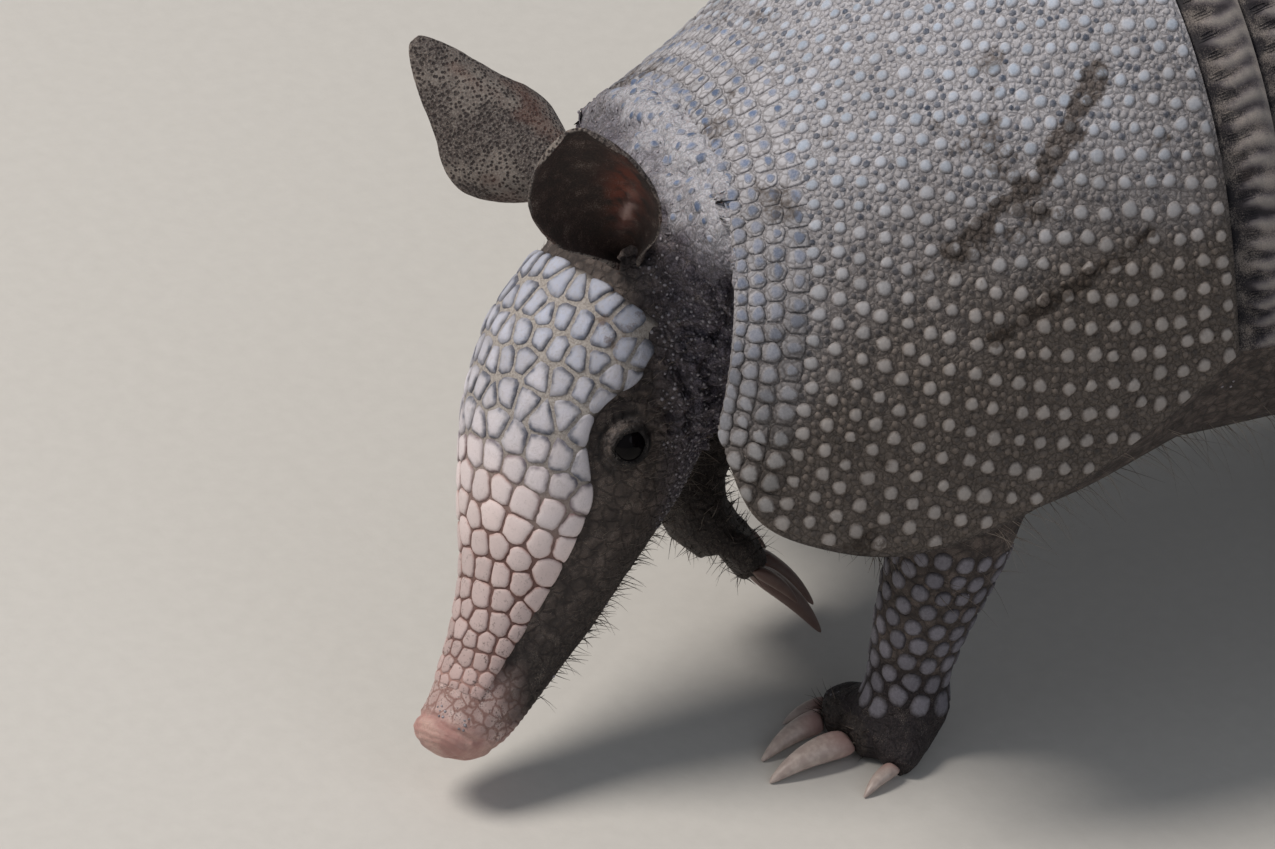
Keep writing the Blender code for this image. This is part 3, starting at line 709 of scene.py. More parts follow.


# the scutes of the back are pale blue grey, those of the flanks a paler pinkish grey on a dark ground; the
# back's pale blue is partly painted light and the flanks' darkness partly painted shade
scuteHorn = hornMaterial("scute horn", ("#B2BED0", "#BAB9BF"), ("#A59E9A", "#6B635E"),
                         dustUpper=0.6, dustLower=0.25)
# the beads on the back are dark slate at their crests: partly the horn's own slate, partly painted shade of
# small pits
beadHornAndPitShade = hornMaterial("bead horn", ("#3C485C", "#7D828E"), ("#3C3735", "#574F49"), 0.2,
                        dustUpper=0.35, dustLower=0.3, toneDust=0.85)
edgeHorn = hornMaterial("edge tile horn", ("#C9C8CE", "#87868B"), ("#4C4541", "#332C27"),
                        dustUpper=0.6, dustLower=0.3, relief=0.2 * mm, cracks=(2.1 * mm, 0.55, 0.16 * mm))
spotHorn = hornMaterial("edge spot horn", ("#64779A", "#A4A6AF"), ("#93908F", "#5C5551"), 0.2,
                        dustUpper=0.45, dustLower=0.2)
# the ground between the scutes is rough, cracked and dusty skin over bone, pale on the back and dark on the
# flanks, partly as painted light and shade
plateHorn = hornMaterial("plate ground", ("#C2C1C8", "#C2C1C8"), ("#635B55", "#635B55"), 0.2,
                         dustUpper=0.9, dustLower=0.5, roughness=0.85, relief=0.3 * mm,
                         cracks=(1.35 * mm, 0.5, 0.25 * mm))


def bandMaterial(name, stops):
    # smooth dark keratin with a pale worn edge: stops run from the front of a band to its rear edge; the
    # dark front, where the band begins in the shade of the band before, is painted shade, and the pale
    # ridges and edge are partly painted light
    material, tree = newMaterial(name)
    fore, tone, mud = attributeOf(tree, "fore"), attributeOf(tree, "tone"), attributeOf(tree, "mud")
    wander = times(tree, minus(tree, noiseNode(tree, 1.4 * mm), 0.5), 0.25)
    along = plus(tree, fore, wander)
    fine = noiseNode(tree, 0.25 * mm, 4, 0.7)
    shade = ranged(tree, plus(tree, times(tree, tone, 0.5), fine), 0.0, 1.2, 0.82, 1.12)
    colour = shaded(tree, colourAlong(tree, along, stops), shade)
    dusty = times(tree, ranged(tree, plus(tree, noiseNode(tree, 5 * mm), fine), 0.9, 1.3), 0.6)
    colour = mixed(tree, dusty, colour, "#A79C94")
    colour = mixed(tree, times(tree, mud, 0.6), colour, "#5F5048")
    finishSurface(tree, colour, 0.7, fine, 0.06 * mm, {"Specular IOR Level": 0.35})
    return material


bandHorn = bandMaterial("band horn", [(0.0, "#1C191F"), (0.32, "#312C31"), (0.6, "#5F595C"),
                                      (1.0, "#8D8783")])
gapHorn = bandMaterial("band bristle ridges", [(0.0, "#1E1B22"), (0.6, "#312C33"), (1.0, "#5F5858")])
print("materials ready")


# Plates of the shell

shellSettings = {
    "meshSize": 1.3 * mm,        # mesh size of a plate
    "sink": 0.6 * mm,            # how deep the plate lies below the crests of its scutes
    "rounding": 1.8 * mm,        # width of the rounded rim
    "thickness": 1.9 * mm,
    "unevenness": 0.35 * mm,     # gentle bumps of the whole plate
    "along": 4.3 * mm,           # from one scute to the next, front to rear
    "around": 4.8 * mm,          # and from side to side
    "edgeAlong": 4.4 * mm,       # the straight columns next to the front edge
    "edgeAround": 4.9 * mm,
    "edgeHeight": 0.32 * mm,
    "disorder": 0.07,            # share of the spacing by which scutes stray
    "beadPitch": 1.8 * mm,       # small beads between the scutes
    "upperRadius": 1.42 * mm,    # scutes on the back
    "lowerRadius": 1.58 * mm,    # scutes on the flanks
    "beadRadius": 0.82 * mm,
    "scuteHeight": 0.55 * mm,
    "beadHeight": 0.34 * mm,
    "gap": 0.2 * mm,             # open width between neighbours
}

shellLow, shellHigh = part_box("scapular_shield")


def lownessAndShade(points):
    # 0 on the back, 1 on the flanks, with a wandering border that lies higher towards the rear; it carries
    # painted light and shade: the back's paler, bluer colours are partly painted light, the flanks' darker
    # ones partly painted shade, and the higher border at the rear paints the shade there
    height = (points[:, 2] - shellLow.z) / (shellHigh.z - shellLow.z)
    rearward = np.clip((points[:, 1] - shellLow.y) / (shellHigh.y - shellLow.y), 0, 1)
    wander = 0.1 * noiseAt(points, 26 * mm, 2)
    return 1 - smooth(0.34, 0.74, height + wander - 0.3 * (rearward - 0.25))


def shellMarks(piece, mudLines=None):
    points = pointsOf(piece)
    setAttribute(piece, "low", lownessAndShade(points))
    mud = smooth(0.42, 0.75, noiseAt(points, 17 * mm, 4, 3.0)) * 0.6
    for line, width, strength in mudLines or ():
        near = np.full(len(points), 1.0)
        for start, end in zip(line[:-1], line[1:]):
            a, b = np.array(start), np.array(end)
            share = np.clip(((points - a) @ (b - a)) / ((b - a) @ (b - a)), 0, 1)
            near = np.minimum(near, lengthOf(points - a - share[:, None] * (b - a)))
        ragged = near / width + 0.55 * noiseAt(points, 4 * mm, 4, 7.0)
        broken = 0.92 + 0.5 * noiseAt(points, 3.2 * mm, 3, 2.5)
        mud = np.maximum(mud, strength * broken * (1 - smooth(0.35, 1.45, ragged)))
    setAttribute(piece, "mud", mud)


def spreadOut(spots, reach, fixedCount, rounds=4):
    # pushes crowded seeds apart in the plane; the first fixedCount stay
    spots = spots.copy()
    for _ in range(rounds):
        tree = searchTree(spots)
        moves = np.zeros_like(spots)
        for k in range(fixedCount, len(spots)):
            for _, other, gap in tree.find_range(Vector(spots[k]).to_3d(), 2 * reach.max()):
                free = reach[k] + reach[other] - gap
                if other != k and free > 0 and gap > 0:
                    part = 0.5 if other >= fixedCount else 1.0
                    moves[k] += (spots[k] - spots[other]) / gap * free * part
        spots += np.clip(moves, -0.5 * mm, 0.5 * mm)
    return spots


# smears of dried mud on the left of the shoulder shield: places along and across it, half width, strength
mudSmears = [
    ([(0.80, 0.735), (0.72, 0.764), (0.653, 0.775), (0.56, 0.787), (0.52, 0.792), (0.453, 0.798)],
     2.8 * mm, 0.95),
    ([(0.56, 0.787), (0.627, 0.803), (0.667, 0.809)], 2.2 * mm, 0.85),
    ([(0.84, 0.858), (0.773, 0.86), (0.707, 0.86), (0.613, 0.862), (0.56, 0.865), (0.52, 0.865)],
     2.0 * mm, 0.9),
    ([(0.06, 0.585), (0.1, 0.55)], 2.8 * mm, 0.5),
    ([(0.213, 0.663), (0.25, 0.665)], 2.2 * mm, 0.5),
    ([(0.187, 0.42), (0.24, 0.5)], 2.6 * mm, 0.5),
    ([(0.347, 0.927), (0.36, 0.93)], 2.2 * mm, 0.6),
]


def shieldSeeds(sheet, settings, edgeColumns):
    # places of the edge tiles and the scutes, in metres from the sheet's front right corner, and where
    # the scutes begin
    lengthU, lengthV = sheet["lengthU"], sheet["lengthV"]
    edgeCount = round((lengthV - 1.0 * mm) / settings["edgeAround"])
    edge = []
    for column in range(edgeColumns):
        offset = 0.5 * (column % 2)
        around = (np.arange(edgeCount - column % 2) + 0.5 + offset) / edgeCount * lengthV
        around = around + chance.normal(0, 0.35 * mm, len(around))
        along = np.full(len(around), (column + 0.5) * settings["edgeAlong"] - 0.6 * mm)
        edge.append(np.stack([along, around], -1))
    edge = np.concatenate(edge) if edge else np.zeros((0, 2))
    edge += chance.normal(0, 0.1 * mm, edge.shape)
    start = edgeColumns * settings["edgeAlong"] - 0.6 * mm
    columns = round((lengthU - start) / settings["along"])
    along = (lengthU - start) / columns
    count = round((lengthV - 1.0 * mm) / settings["around"])
    scutes = []
    for column in range(columns):
        offset = 0.5 * (column % 2)
        around = (np.arange(count - column % 2) + 0.5 + offset) / count * lengthV
        scutes.append(np.stack([np.full(len(around), start + (column + 0.5) * along), around], -1))
    scutes = np.concatenate(scutes)
    scutes += chance.normal(0, settings["disorder"] * settings["around"], scutes.shape)
    return edge, scutes, start


def dressShield(name, node, edgeColumns, smears=()):
    settings = shellSettings
    outer = plateSheet(node, settings["meshSize"])
    mudLines = []
    for places, width, strength in smears:
        u, v = np.array(places).T
        mudLines.append((onSheet(outer, "table", u, v), width, strength))
    rows, columns = outer["table"].shape[:2]
    flat = outer["table"].reshape(-1, 3)
    unevenness = (noiseAt(flat, 21 * mm, 3) * settings["unevenness"]).reshape(rows, columns)
    body = plateBody(name + "Plate", outer, settings["thickness"], settings["sink"], settings["rounding"],
                     plateHorn, unevenness, 0.8)
    setAttribute(body, "fore", np.tile(np.repeat(np.linspace(0, 1, rows), columns), 2))
    shellMarks(body, mudLines)
    surface = surfaceOf(body)
    edge, scutes, start = shieldSeeds(outer, settings, edgeColumns)
    size = np.array([outer["lengthU"], outer["lengthV"]])
    scuteLow = lownessAndShade(onSheet(outer, "table", *(scutes / size).T))
    radius = settings["upperRadius"] * (1 - scuteLow) + settings["lowerRadius"] * scuteLow
    radius = radius * (1 + chance.normal(0, 0.07, len(radius)))
    pitch = settings["beadPitch"]
    lattice = []
    for row in range(int(outer["lengthU"] / (pitch * 0.87))):
        shift = 0.5 * (row % 2)
        across = (np.arange(int(outer["lengthV"] / pitch) - 1) + 0.75 + shift) * pitch
        lattice.append(np.stack([np.full(len(across), (row + 0.5) * pitch * 0.87), across], -1))
    beads = np.concatenate(lattice) + chance.normal(0, 0.12 * pitch, (sum(map(len, lattice)), 2))
    beads = beads[beads[:, 0] > start + 0.1 * mm]
    tree = searchTree(scutes)
    keep = []
    for spot in beads:
        _, near, gap = tree.find(Vector(spot).to_3d())
        keep.append(gap > radius[near] + 0.5 * settings["beadRadius"])
    beads = beads[np.array(keep)]
    fixed = len(scutes)
    spots = np.concatenate([scutes, beads])
    reach = np.concatenate([radius, settings["beadRadius"] * chance.uniform(0.75, 1.2, len(beads))])
    spots = spreadOut(spots, reach, fixed)
    margin = 0.7 * mm
    inside = np.all((spots > margin) & (spots < size - margin), axis=1)
    inside &= spots[:, 0] > start
    spots, reach = spots[inside], reach[inside]
    isScute = np.arange(len(inside))[inside] < fixed
    low = np.concatenate([scuteLow, np.zeros(len(beads))])[inside]
    place = spots / size
    angles = anglesOf(12)
    # scutes of the flanks are blunt behind and come to a soft point in front
    blunt = 1 / np.maximum(np.cos(angles), 0.2) * 0.82
    pointed = 1 + 0.3 * np.maximum(-np.cos(angles), 0) ** 3
    shape = np.minimum(blunt, pointed)
    caps = reach[:, None] * (1 + np.where(isScute, 0.25 + 0.75 * low, 0)[:, None] * (shape - 1)[None, :])
    caps = caps * (1 + chance.normal(0, 0.06, caps.shape))
    tone = chance.uniform(-1, 1, len(spots))
    height = np.where(isScute, settings["scuteHeight"], settings["beadHeight"])
    height = height * (1 + chance.normal(0, 0.08, len(spots)))
    seeds = seedsOnSheet(outer, place[:, 0], place[:, 1], height, tone)
    outlines = cellOutlines(seeds, reach, caps, settings["gap"], 9)
    def chosen(mask):
        return {key: value[mask] for key, value in seeds.items()}
    large = layTiles(name + "Scutes", chosen(isScute), outlines[isScute], roundTile, surface, scuteHorn)
    small = layTiles(name + "Beads", chosen(~isScute), outlines[~isScute][:, ::2], smallTile, surface,
                     beadHornAndPitShade)
    pieces = [body, large, small]
    if edgeColumns:
        place = edge / size
        seeds = seedsOnSheet(outer, place[:, 0], place[:, 1], settings["edgeHeight"],
                             chance.uniform(-1, 1, len(edge)))
        half = np.array([settings["edgeAlong"] / 2, settings["edgeAround"] / 2])
        angles = anglesOf(16)
        box = np.minimum(half[0] / np.maximum(abs(np.cos(angles)), 1e-3),
                         half[1] / np.maximum(abs(np.sin(angles)), 1e-3))
        caps = np.tile(box * 1.16, (len(edge), 1)) * (1 + chance.normal(0, 0.05, (len(edge), len(angles))))
        sizes = np.full(len(edge), half.mean())
        outlines = cellOutlines(seeds, sizes, caps, 0.15 * mm, 20)
        tiles = layTiles(name + "EdgeTiles", seeds, outlines, flatTile, surface, edgeHorn)
        # a blue grey drop near the rear of each edge tile, which fills more of the tile on the flanks
        lowEdge = lownessAndShade(seeds["point"])
        halfAlong = (0.95 + 0.85 * lowEdge) * chance.uniform(0.8, 1.2, len(edge)) * mm
        halfAround = (1.45 + 0.4 * lowEdge) * chance.uniform(0.65, 1.15, len(edge)) * mm
        drop = np.stack([np.cos(angles), np.sin(angles) * (1 - 0.3 * np.cos(angles))], -1)
        outlines = drop[None] * np.stack([halfAlong, halfAround], -1)[:, None, :]
        outlines = outlines * (1 + chance.normal(0, 0.05, (len(edge), len(angles), 1)))
        rearward = edge[:, 0] + (0.95 - 0.6 * lowEdge) * mm
        ovalSeeds = seedsOnSheet(outer, rearward / size[0], place[:, 1], (0.26 + 0.15 * lowEdge) * mm,
                                 seeds["tone"])
        ovalSeeds["lift"] = np.full(len(edge), 0.27 * mm)
        ovals = layTiles(name + "EdgeOvals", ovalSeeds, outlines, roundTile, surface, spotHorn)
        pieces += [tiles, ovals]
    for piece in pieces[1:]:
        shellMarks(piece, mudLines)
    for piece in pieces:
        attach(piece, "root")
        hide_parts(node)
    print(name, "dressed with", len(spots), "scutes and beads")


bandSettings = {
    "count": 9,
    "meshSize": 1.2 * mm,
    "finerAcross": 0.6 * mm,
    "pitch": 3.9 * mm,        # from ridge to ridge around the body
    "ridge": 0.75 * mm,       # how high a ridge stands over its valleys
    "sink": 0.6 * mm,
    "thickness": 2.4 * mm,
    "rounding": 0.9 * mm,
}


def spikeOutline(length, halfWidth, corners=8):
    t = np.concatenate([np.linspace(0, 1, corners // 2 + 1), np.linspace(1, 0, corners // 2 + 1)[1:-1]])
    width = halfWidth * np.clip(1 - t, 0.02, 1) ** 0.8
    sign = np.where(np.arange(len(t)) <= corners // 2, -1, 1)
    return np.stack([(t - 0.4) * length, width * sign], -1)


def dressBand(number):
    # dark valleys at a band's front widen into pale ridges, which meet in its pale rear edge
    settings = bandSettings
    node = "band_%d" % number
    outer = plateSheet(node, settings["meshSize"], across=settings["finerAcross"])
    rows, columns = outer["table"].shape[:2]
    count = round(outer["lengthV"] / settings["pitch"])
    centres = (np.arange(count) + 0.5 + chance.normal(0, 0.06, count)) / count
    u = np.linspace(0, 1, rows)[:, None]
    v = np.linspace(0, 1, columns)[None, :]
    wavy = v + 0.12 / count * np.sin(9 * u + 40 * v)
    near = np.abs(wavy[..., None] - centres).min(axis=2) * count
    width = 0.17 + 0.3 * smooth(0.1, 0.8, u)
    ridge = bell(near, width) * smooth(0.03, 0.4, u)
    ridge = np.maximum(ridge, smooth(0.78, 0.95, u) * 0.9)
    body = plateBody("band%dPlate" % number, outer, settings["thickness"], settings["sink"],
                     settings["rounding"], bandHorn, ridge * settings["ridge"])
    # the colour follows the ridges, pale on them and dark in the valleys and at the front: partly painted
    # light and shade
    marks = np.clip(ridge * (0.45 + 0.55 * smooth(0.0, 0.6, u)), 0, 1).ravel()
    setAttribute(body, "fore", np.concatenate([marks, marks]))
    surface = surfaceOf(body)
    between = [(centres[1:] + centres[:-1]) / 2 + shift / count for shift in (-0.14, 0.0, 0.14)]
    between = np.concatenate(between)
    between = between[(between > 0.004) & (between < 0.996)]
    darks = seedsOnSheet(outer, np.full(len(between), 0.3) + chance.normal(0, 0.04, len(between)), between,
                         0.2 * mm, chance.uniform(-1, 1, len(between)))
    outline = spikeOutline(outer["lengthU"] * 0.4, 0.2 * mm)
    outlines = np.tile(outline, (len(between), 1, 1)) * chance.uniform(0.7, 1.15, (len(between), 1, 2))
    small = layTiles("band%dGaps" % number, darks, outlines, smallTile, surface, gapHorn)
    for piece in (body, small):
        shellMarks(piece)
        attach(piece, "root")
        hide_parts(node)


# The head's own directions

def middleOf(node):
    low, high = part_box(node)
    return np.array((low + high) / 2)


eyeCentres = {"left": middleOf("eye_left"), "right": middleOf("eye_right")}
leftward = unit(eyeCentres["left"] - eyeCentres["right"])
onward = np.array([0.2526, -0.5493, -0.7965])   # the way the snout points
onward = unit(onward - leftward * (onward @ leftward))
upward = np.cross(onward, leftward)
middleOfEyes = (eyeCentres["left"] + eyeCentres["right"]) / 2
noseTip = middleOfEyes + onward * 65.4 * mm - upward * 5.7 * mm


def inHead(points):
    # distance behind the nose tip, to the animal's left, and up from the snout's middle line
    away = np.asarray(points) - noseTip
    return np.stack([-(away @ onward), away @ leftward, away @ upward], -1)


# where parts of the body lie: y along the animal, with its nose at the low end, and z above the floor
bodyPlaces = {
    "headRear": -240 * mm,
    "faceRear": -230 * mm,       # finer mesh in front of this place and below the next
    "faceTop": 112 * mm,
    "napeFront": -215 * mm,      # the skin rises to the shell in front of this place and above the next
    "napeBottom": 62 * mm,
    "neckFolds": (-276 * mm, -268 * mm, -240 * mm, -228 * mm),    # begin, full, still full, end
    "neckColour": (-274 * mm, -262 * mm, -238 * mm, -222 * mm),
    "bellyFront": -225 * mm,
    "bellyRear": -5 * mm,
    "tailFront": 4 * mm,
}


# The skin: one closed surface for head, neck, trunk, legs and tail

skinSettings = {
    "voxel": 1.1 * mm,
    "overlap": 0.35 * mm,      # swelling that lets neighbouring parts melt together
    "smoothing": 60,
    "footSmoothing": 0.12,     # share of the smoothing that reaches the toes
    "eyeBall": 4.2 * mm,
    "lidOpening": (2.35 * mm, 2.05 * mm),
    "lidThickness": 0.6 * mm,
    "noseReach": 2.3 * mm,     # how far the soft nose stands out beyond the solid
}
tailNodes = ["tail_1", "tail_2", "tail_3", "tail_4"]
fleshNodes = ["head", "neck", "trunk", "foreleg_left", "foreleg_right", "forefoot_left", "forefoot_right",
              "hindleg_left", "hindleg_right", "hindfoot_left", "hindfoot_right"] + tailNodes
footNodes = [node for node in fleshNodes if "foot" in node]


def linksOf(piece):
    pairs = np.zeros(len(piece.data.edges) * 2, np.int32)
    piece.data.edges.foreach_get("vertices", pairs)
    pairs = pairs.reshape(-1, 2)
    count = len(piece.data.vertices)
    valence = np.bincount(pairs.ravel(), minlength=count)
    return pairs, np.maximum(valence, 1)


def relaxed(values, links, rounds, weight):
    # rounds of averaging with the neighbours
    pairs, valence = links
    count = len(values)
    for _ in range(rounds):
        total = np.empty_like(values)
        for axis in range(values.shape[1]):
            total[:, axis] = np.bincount(pairs[:, 0], values[pairs[:, 1], axis], count)
            total[:, axis] += np.bincount(pairs[:, 1], values[pairs[:, 0], axis], count)
        values = values + (total / valence[:, None] - values) * weight
    return values


def rounded(points, links, rounds, weight):
    # smoothing that gives back the volume it takes
    first = relaxed(points, links, rounds, weight)
    return first + relaxed(points - first, links, rounds, weight)


def onlyActive(piece):
    bpy.ops.object.select_all(action="DESELECT")
    piece.select_set(True)
    bpy.context.view_layer.objects.active = piece


def applyModifier(piece, kind, settings):
    modifier = piece.modifiers.new(kind, kind)
    for name, value in settings.items():
        setattr(modifier, name, value)
    onlyActive(piece)
    bpy.ops.object.modifier_apply(modifier=modifier.name)


def softPiece(work, name, levels):
    # a solid whose triangles are joined in pairs and rounded off
    bmesh.ops.join_triangles(work, faces=work.faces, angle_face_threshold=0.7, angle_shape_threshold=0.7)
    piece = pieceFrom(work, name)
    applyModifier(piece, "SUBSURF", {"levels": levels, "render_levels": levels})
    return piece


def refine(piece, chosen):
    # halves the edges of faces whose corners are all chosen
    work = bmesh.new()
    work.from_mesh(piece.data)
    work.verts.ensure_lookup_table()
    edges = set()
    for face in work.faces:
        if all(chosen[vertex.index] for vertex in face.verts):
            edges.update(face.edges)
    bmesh.ops.subdivide_edges(work, edges=list(edges), cuts=1, use_grid_fill=True, smooth=0.0)
    work.to_mesh(piece.data)
    work.free()


def nearAny(points, places, reach):
    return np.min([lengthOf(points - place) for place in places], axis=0) < reach


def boxed(points, low, high, below=0.0, above=0.0):
    # which points lie in a box widened by some metres
    return np.all((points > np.array(low) - below) & (points < np.array(high) + above), axis=1)


parts = []
for node in fleshNodes + ["eye_left", "eye_right"]:
    work = mergedNode(node)
    for vertex in work.verts:
        vertex.co += vertex.normal * (0 if node.startswith("eye") else skinSettings["overlap"])
    parts.append(pieceFrom(work, node + "Flesh"))
bpy.ops.object.select_all(action="DESELECT")
for part in parts:
    part.select_set(True)
bpy.context.view_layer.objects.active = parts[0]
bpy.ops.object.join()
skin = parts[0]
skin.name = "skin"
applyModifier(skin, "REMESH", {"mode": "VOXEL", "voxel_size": skinSettings["voxel"],
                               "use_smooth_shade": True})
points = pointsOf(skin)
footBoxes = [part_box(node) for node in footNodes]
weight = np.full(len(points), 0.5)
for low, high in footBoxes:  # the top of a foot is smoothed as the leg
    inside = boxed(points, low, high, 1 * mm, np.array((1, 1, -6)) * mm)
    weight[inside] = 0.5 * skinSettings["footSmoothing"]
links = linksOf(skin)
weight = relaxed(weight[:, None], links, 6, 0.5)
points = rounded(points, links, skinSettings["smoothing"], weight)
movePoints(skin, points)
print("skin melted together", len(points))

# finer mesh where the face needs it
eyePlaces = list(eyeCentres.values())
spots = inHead(points)
faceArea = (spots[:, 0] < 100 * mm) & (points[:, 1] < bodyPlaces["faceRear"])
faceArea &= points[:, 2] < bodyPlaces["faceTop"]
for low, high in footBoxes[:2]:
    faceArea |= boxed(points, low, high, 2 * mm, 2 * mm)
refine(skin, faceArea)
points = pointsOf(skin)
spots = inHead(points)
refine(skin, nearAny(points, eyePlaces, 9 * mm) | (spots[:, 0] < 13 * mm))
points = pointsOf(skin)
refine(skin, nearAny(points, eyePlaces, 6.2 * mm))
points = pointsOf(skin)
links = linksOf(skin)
spots = inHead(points)
fineWeight = np.where(spots[:, 0] < 100 * mm, 0.5, 0.0)[:, None]
points = rounded(points, links, 6, fineWeight)
noseShare = 1 - smooth(0, 17 * mm, inHead(points)[:, 0])
points = points + onward * (skinSettings["noseReach"] * noseShare)[:, None]
movePoints(skin, points)

# the nape rises to the shell's front rim, so that no gap opens behind the ears
shield = plateSheet("scapular_shield", 1.3 * mm)
refine(skin, nearAny(points, shield["table"][0], 6 * mm) & (points[:, 2] > bodyPlaces["napeBottom"]))
points = pointsOf(skin)
links = linksOf(skin)
depth = 0.35 * mm + 2.1 * mm * smooth(0.3, 3.2, np.arange(len(shield["table"])))
underside = shield["table"] - shield["normals"] * depth[:, None, None]
rimRow = underside[0]
rimTree = searchTree(rimRow)
ceiling = gridSurface(underside)
softNormals = unit(relaxed(normalsOf(skin), links, 25, 0.5))
spots = inHead(points)
napeArea = (points[:, 1] < bodyPlaces["napeFront"]) & (points[:, 2] > bodyPlaces["napeBottom"])
napeArea = np.nonzero(napeArea & (spots[:, 0] > 84 * mm))[0]
for reach, rounds in ((26 * mm, 12), (9 * mm, 4)):
    lift = np.zeros(len(points))
    for k in napeArea:
        place, near, _ = rimTree.find(Vector(points[k]))
        away = np.array(place) - points[k]
        out = away @ softNormals[k]
        aside = math.sqrt(max(away @ away - out * out, 0))
        across = near / (len(rimRow) - 1)
        share = float(plateau(across, 0.08, 0.2, 0.8, 0.92))
        lift[k] = max(out, 0) * share * float(1 - smooth(0.12 * reach, reach, aside))
    lift = relaxed(lift[:, None], links, rounds, 0.5)
    points = points + softNormals * lift
    for k in napeArea:
        place, normal, _, gap = ceiling.find_nearest(Vector(points[k]))
        over = (Vector(points[k]) - place).dot(normal)
        if over > 0 and gap < 14 * mm:
            points[k] -= np.array(normal) * over
movePoints(skin, points)
skin.data.shade_smooth()
print("skin refined", len(points))


# Shape of the face

faceSettings = {
    # height, place above the mouth line and width of the slit and the two lips
    "mouth": ((-0.9 * mm, 0.0, 0.55 * mm), (0.35 * mm, 1.6 * mm, 1.1 * mm),
              (0.3 * mm, -1.7 * mm, 1.0 * mm)),
    "wrinkleHeight": 0.07 * mm,     # fine wrinkles around the snout
    "wrinklePitch": 1.5 * mm,
    "cheekFold": 0.55 * mm,         # folds down the cheek
    "cheekPitch": 5.2 * mm,
    "neckFold": 1.1 * mm,           # deep folds of the neck
    "neckPitch": 8 * mm,
    "nostrilDepth": 2.4 * mm,
    "nostrilApart": 3.1 * mm,       # from the middle of the nose to a nostril
}


def eyeFrame(side):
    # outward, forward and upward directions of an eye, for points around it
    sign = 1 if side == "left" else -1
    out = unit(leftward * sign + upward * 0.3 + onward * 0.12)
    ahead = unit(onward - out * (onward @ out))
    above = np.cross(out, ahead) * -sign
    return out, ahead, above


def shapeLids(points, side):
    # an opening of the lids over the eyeball, with a thick rim and a brow fold above it
    centre = eyeCentres[side]
    out, ahead, above = eyeFrame(side)
    away = points - centre
    far = lengthOf(away)
    halfWide, halfHigh = skinSettings["lidOpening"]
    x = away @ ahead / halfWide
    y = away @ above / halfHigh
    y = y * np.where(y < 0, 1.12, 0.95)
    e = np.hypot(x, y)
    outside = away @ out > -0.5 * mm
    near = outside & (e < 3.3) & (far < 9 * mm)
    ball = skinSettings["eyeBall"]
    wrinkle = noiseAt(points[near], 1.1 * mm, 2, 5.0) * 0.07 + noiseAt(points[near], 4 * mm, 2, 3.0) * 0.3
    eNear = e[near] + wrinkle
    upperSide = smooth(-0.3, 0.5, y[near])
    lid = ball + skinSettings["lidThickness"] + 0.1 * mm * bell(eNear - 1.3, 0.16)
    folds = 0.3 * bell(eNear - 2.05, 0.26) - 0.14 * bell(eNear - 1.7, 0.14) - 0.3 * bell(eNear - 2.55, 0.16)
    lid = lid + folds * upperSide * mm
    lid = lid - 0.1 * mm * bell(eNear - 1.9, 0.15) * (1 - upperSide)
    goal = (ball - 0.9 * mm) + (lid - ball + 0.9 * mm) * smooth(0.93, 1.12, eNear)
    share = 1 - smooth(1.9, 3.1, e[near])
    reach = far[near] * (1 - share) + goal * share
    crease = -0.25 * mm * bell(eNear - 2.5, 0.12) * (1 - share)
    points[near] = centre + away[near] / far[near][:, None] * (reach + crease)[:, None]


for side in eyeCentres:
    shapeLids(points, side)
movePoints(skin, points)
normals = normalsOf(skin)
spots = inHead(points)
back, side, rise = spots.T
lift = np.zeros(len(points))

# mouth line with a lip above it and one below
mouthRise = -5.6 * mm - 0.2 * back
onMouth = plateau(back, 1.5 * mm, 5 * mm, 30 * mm, 36 * mm) * (abs(side) > 2 * mm)
for height, above, width in faceSettings["mouth"]:
    lift += height * bell(rise - mouthRise - above, width) * onMouth

# wrinkles that run around the snout, and folds down the cheek and neck
inHeadArea = (back < 100 * mm) & (points[:, 1] < bodyPlaces["headRear"])
wander = np.zeros(len(points))
fineNoise = np.zeros(len(points))
headIndex = np.nonzero(inHeadArea)[0]
wander[headIndex] = noiseAt(points[headIndex], 9 * mm, 3, 2.0)
fineNoise[headIndex] = noiseAt(points[headIndex], 1.6 * mm, 3, 4.0)
snoutWrinkle = np.sin((back + 1.6 * mm * wander) / faceSettings["wrinklePitch"] * 2 * math.pi)
lift += faceSettings["wrinkleHeight"] * snoutWrinkle * (1 - smooth(14 * mm, 26 * mm, back)) * inHeadArea
cheek = smooth(66 * mm, 76 * mm, back) * (rise < 12 * mm) * inHeadArea
cheekFolds = np.sin((back + 0.35 * rise + 5 * mm * wander) / faceSettings["cheekPitch"] * 2 * math.pi)
lift += faceSettings["cheekFold"] * cheekFolds * cheek
lift += 0.12 * mm * fineNoise * smooth(20 * mm, 40 * mm, back) * inHeadArea
onNeck = plateau(points[:, 1], *bodyPlaces["neckFolds"])
onNeck = onNeck * (points[:, 2] > 50 * mm) * (back > 70 * mm)
neckIndex = np.nonzero(onNeck > 0)[0]
neckNoise = noiseAt(points[neckIndex], 12 * mm, 3, 9.0)
along = points[neckIndex, 1] + 0.3 * points[neckIndex, 2]
folds = 1 - 2 * abs(np.sin((along + 6 * mm * neckNoise) / faceSettings["neckPitch"] * math.pi)) ** 0.7
creases = 0.35 * mm * noiseAt(points[neckIndex], 2.6 * mm, 3, 6.5)
lift[neckIndex] -= (faceSettings["neckFold"] * folds + creases) * onNeck[neckIndex]
points = points + normals * lift[:, None]

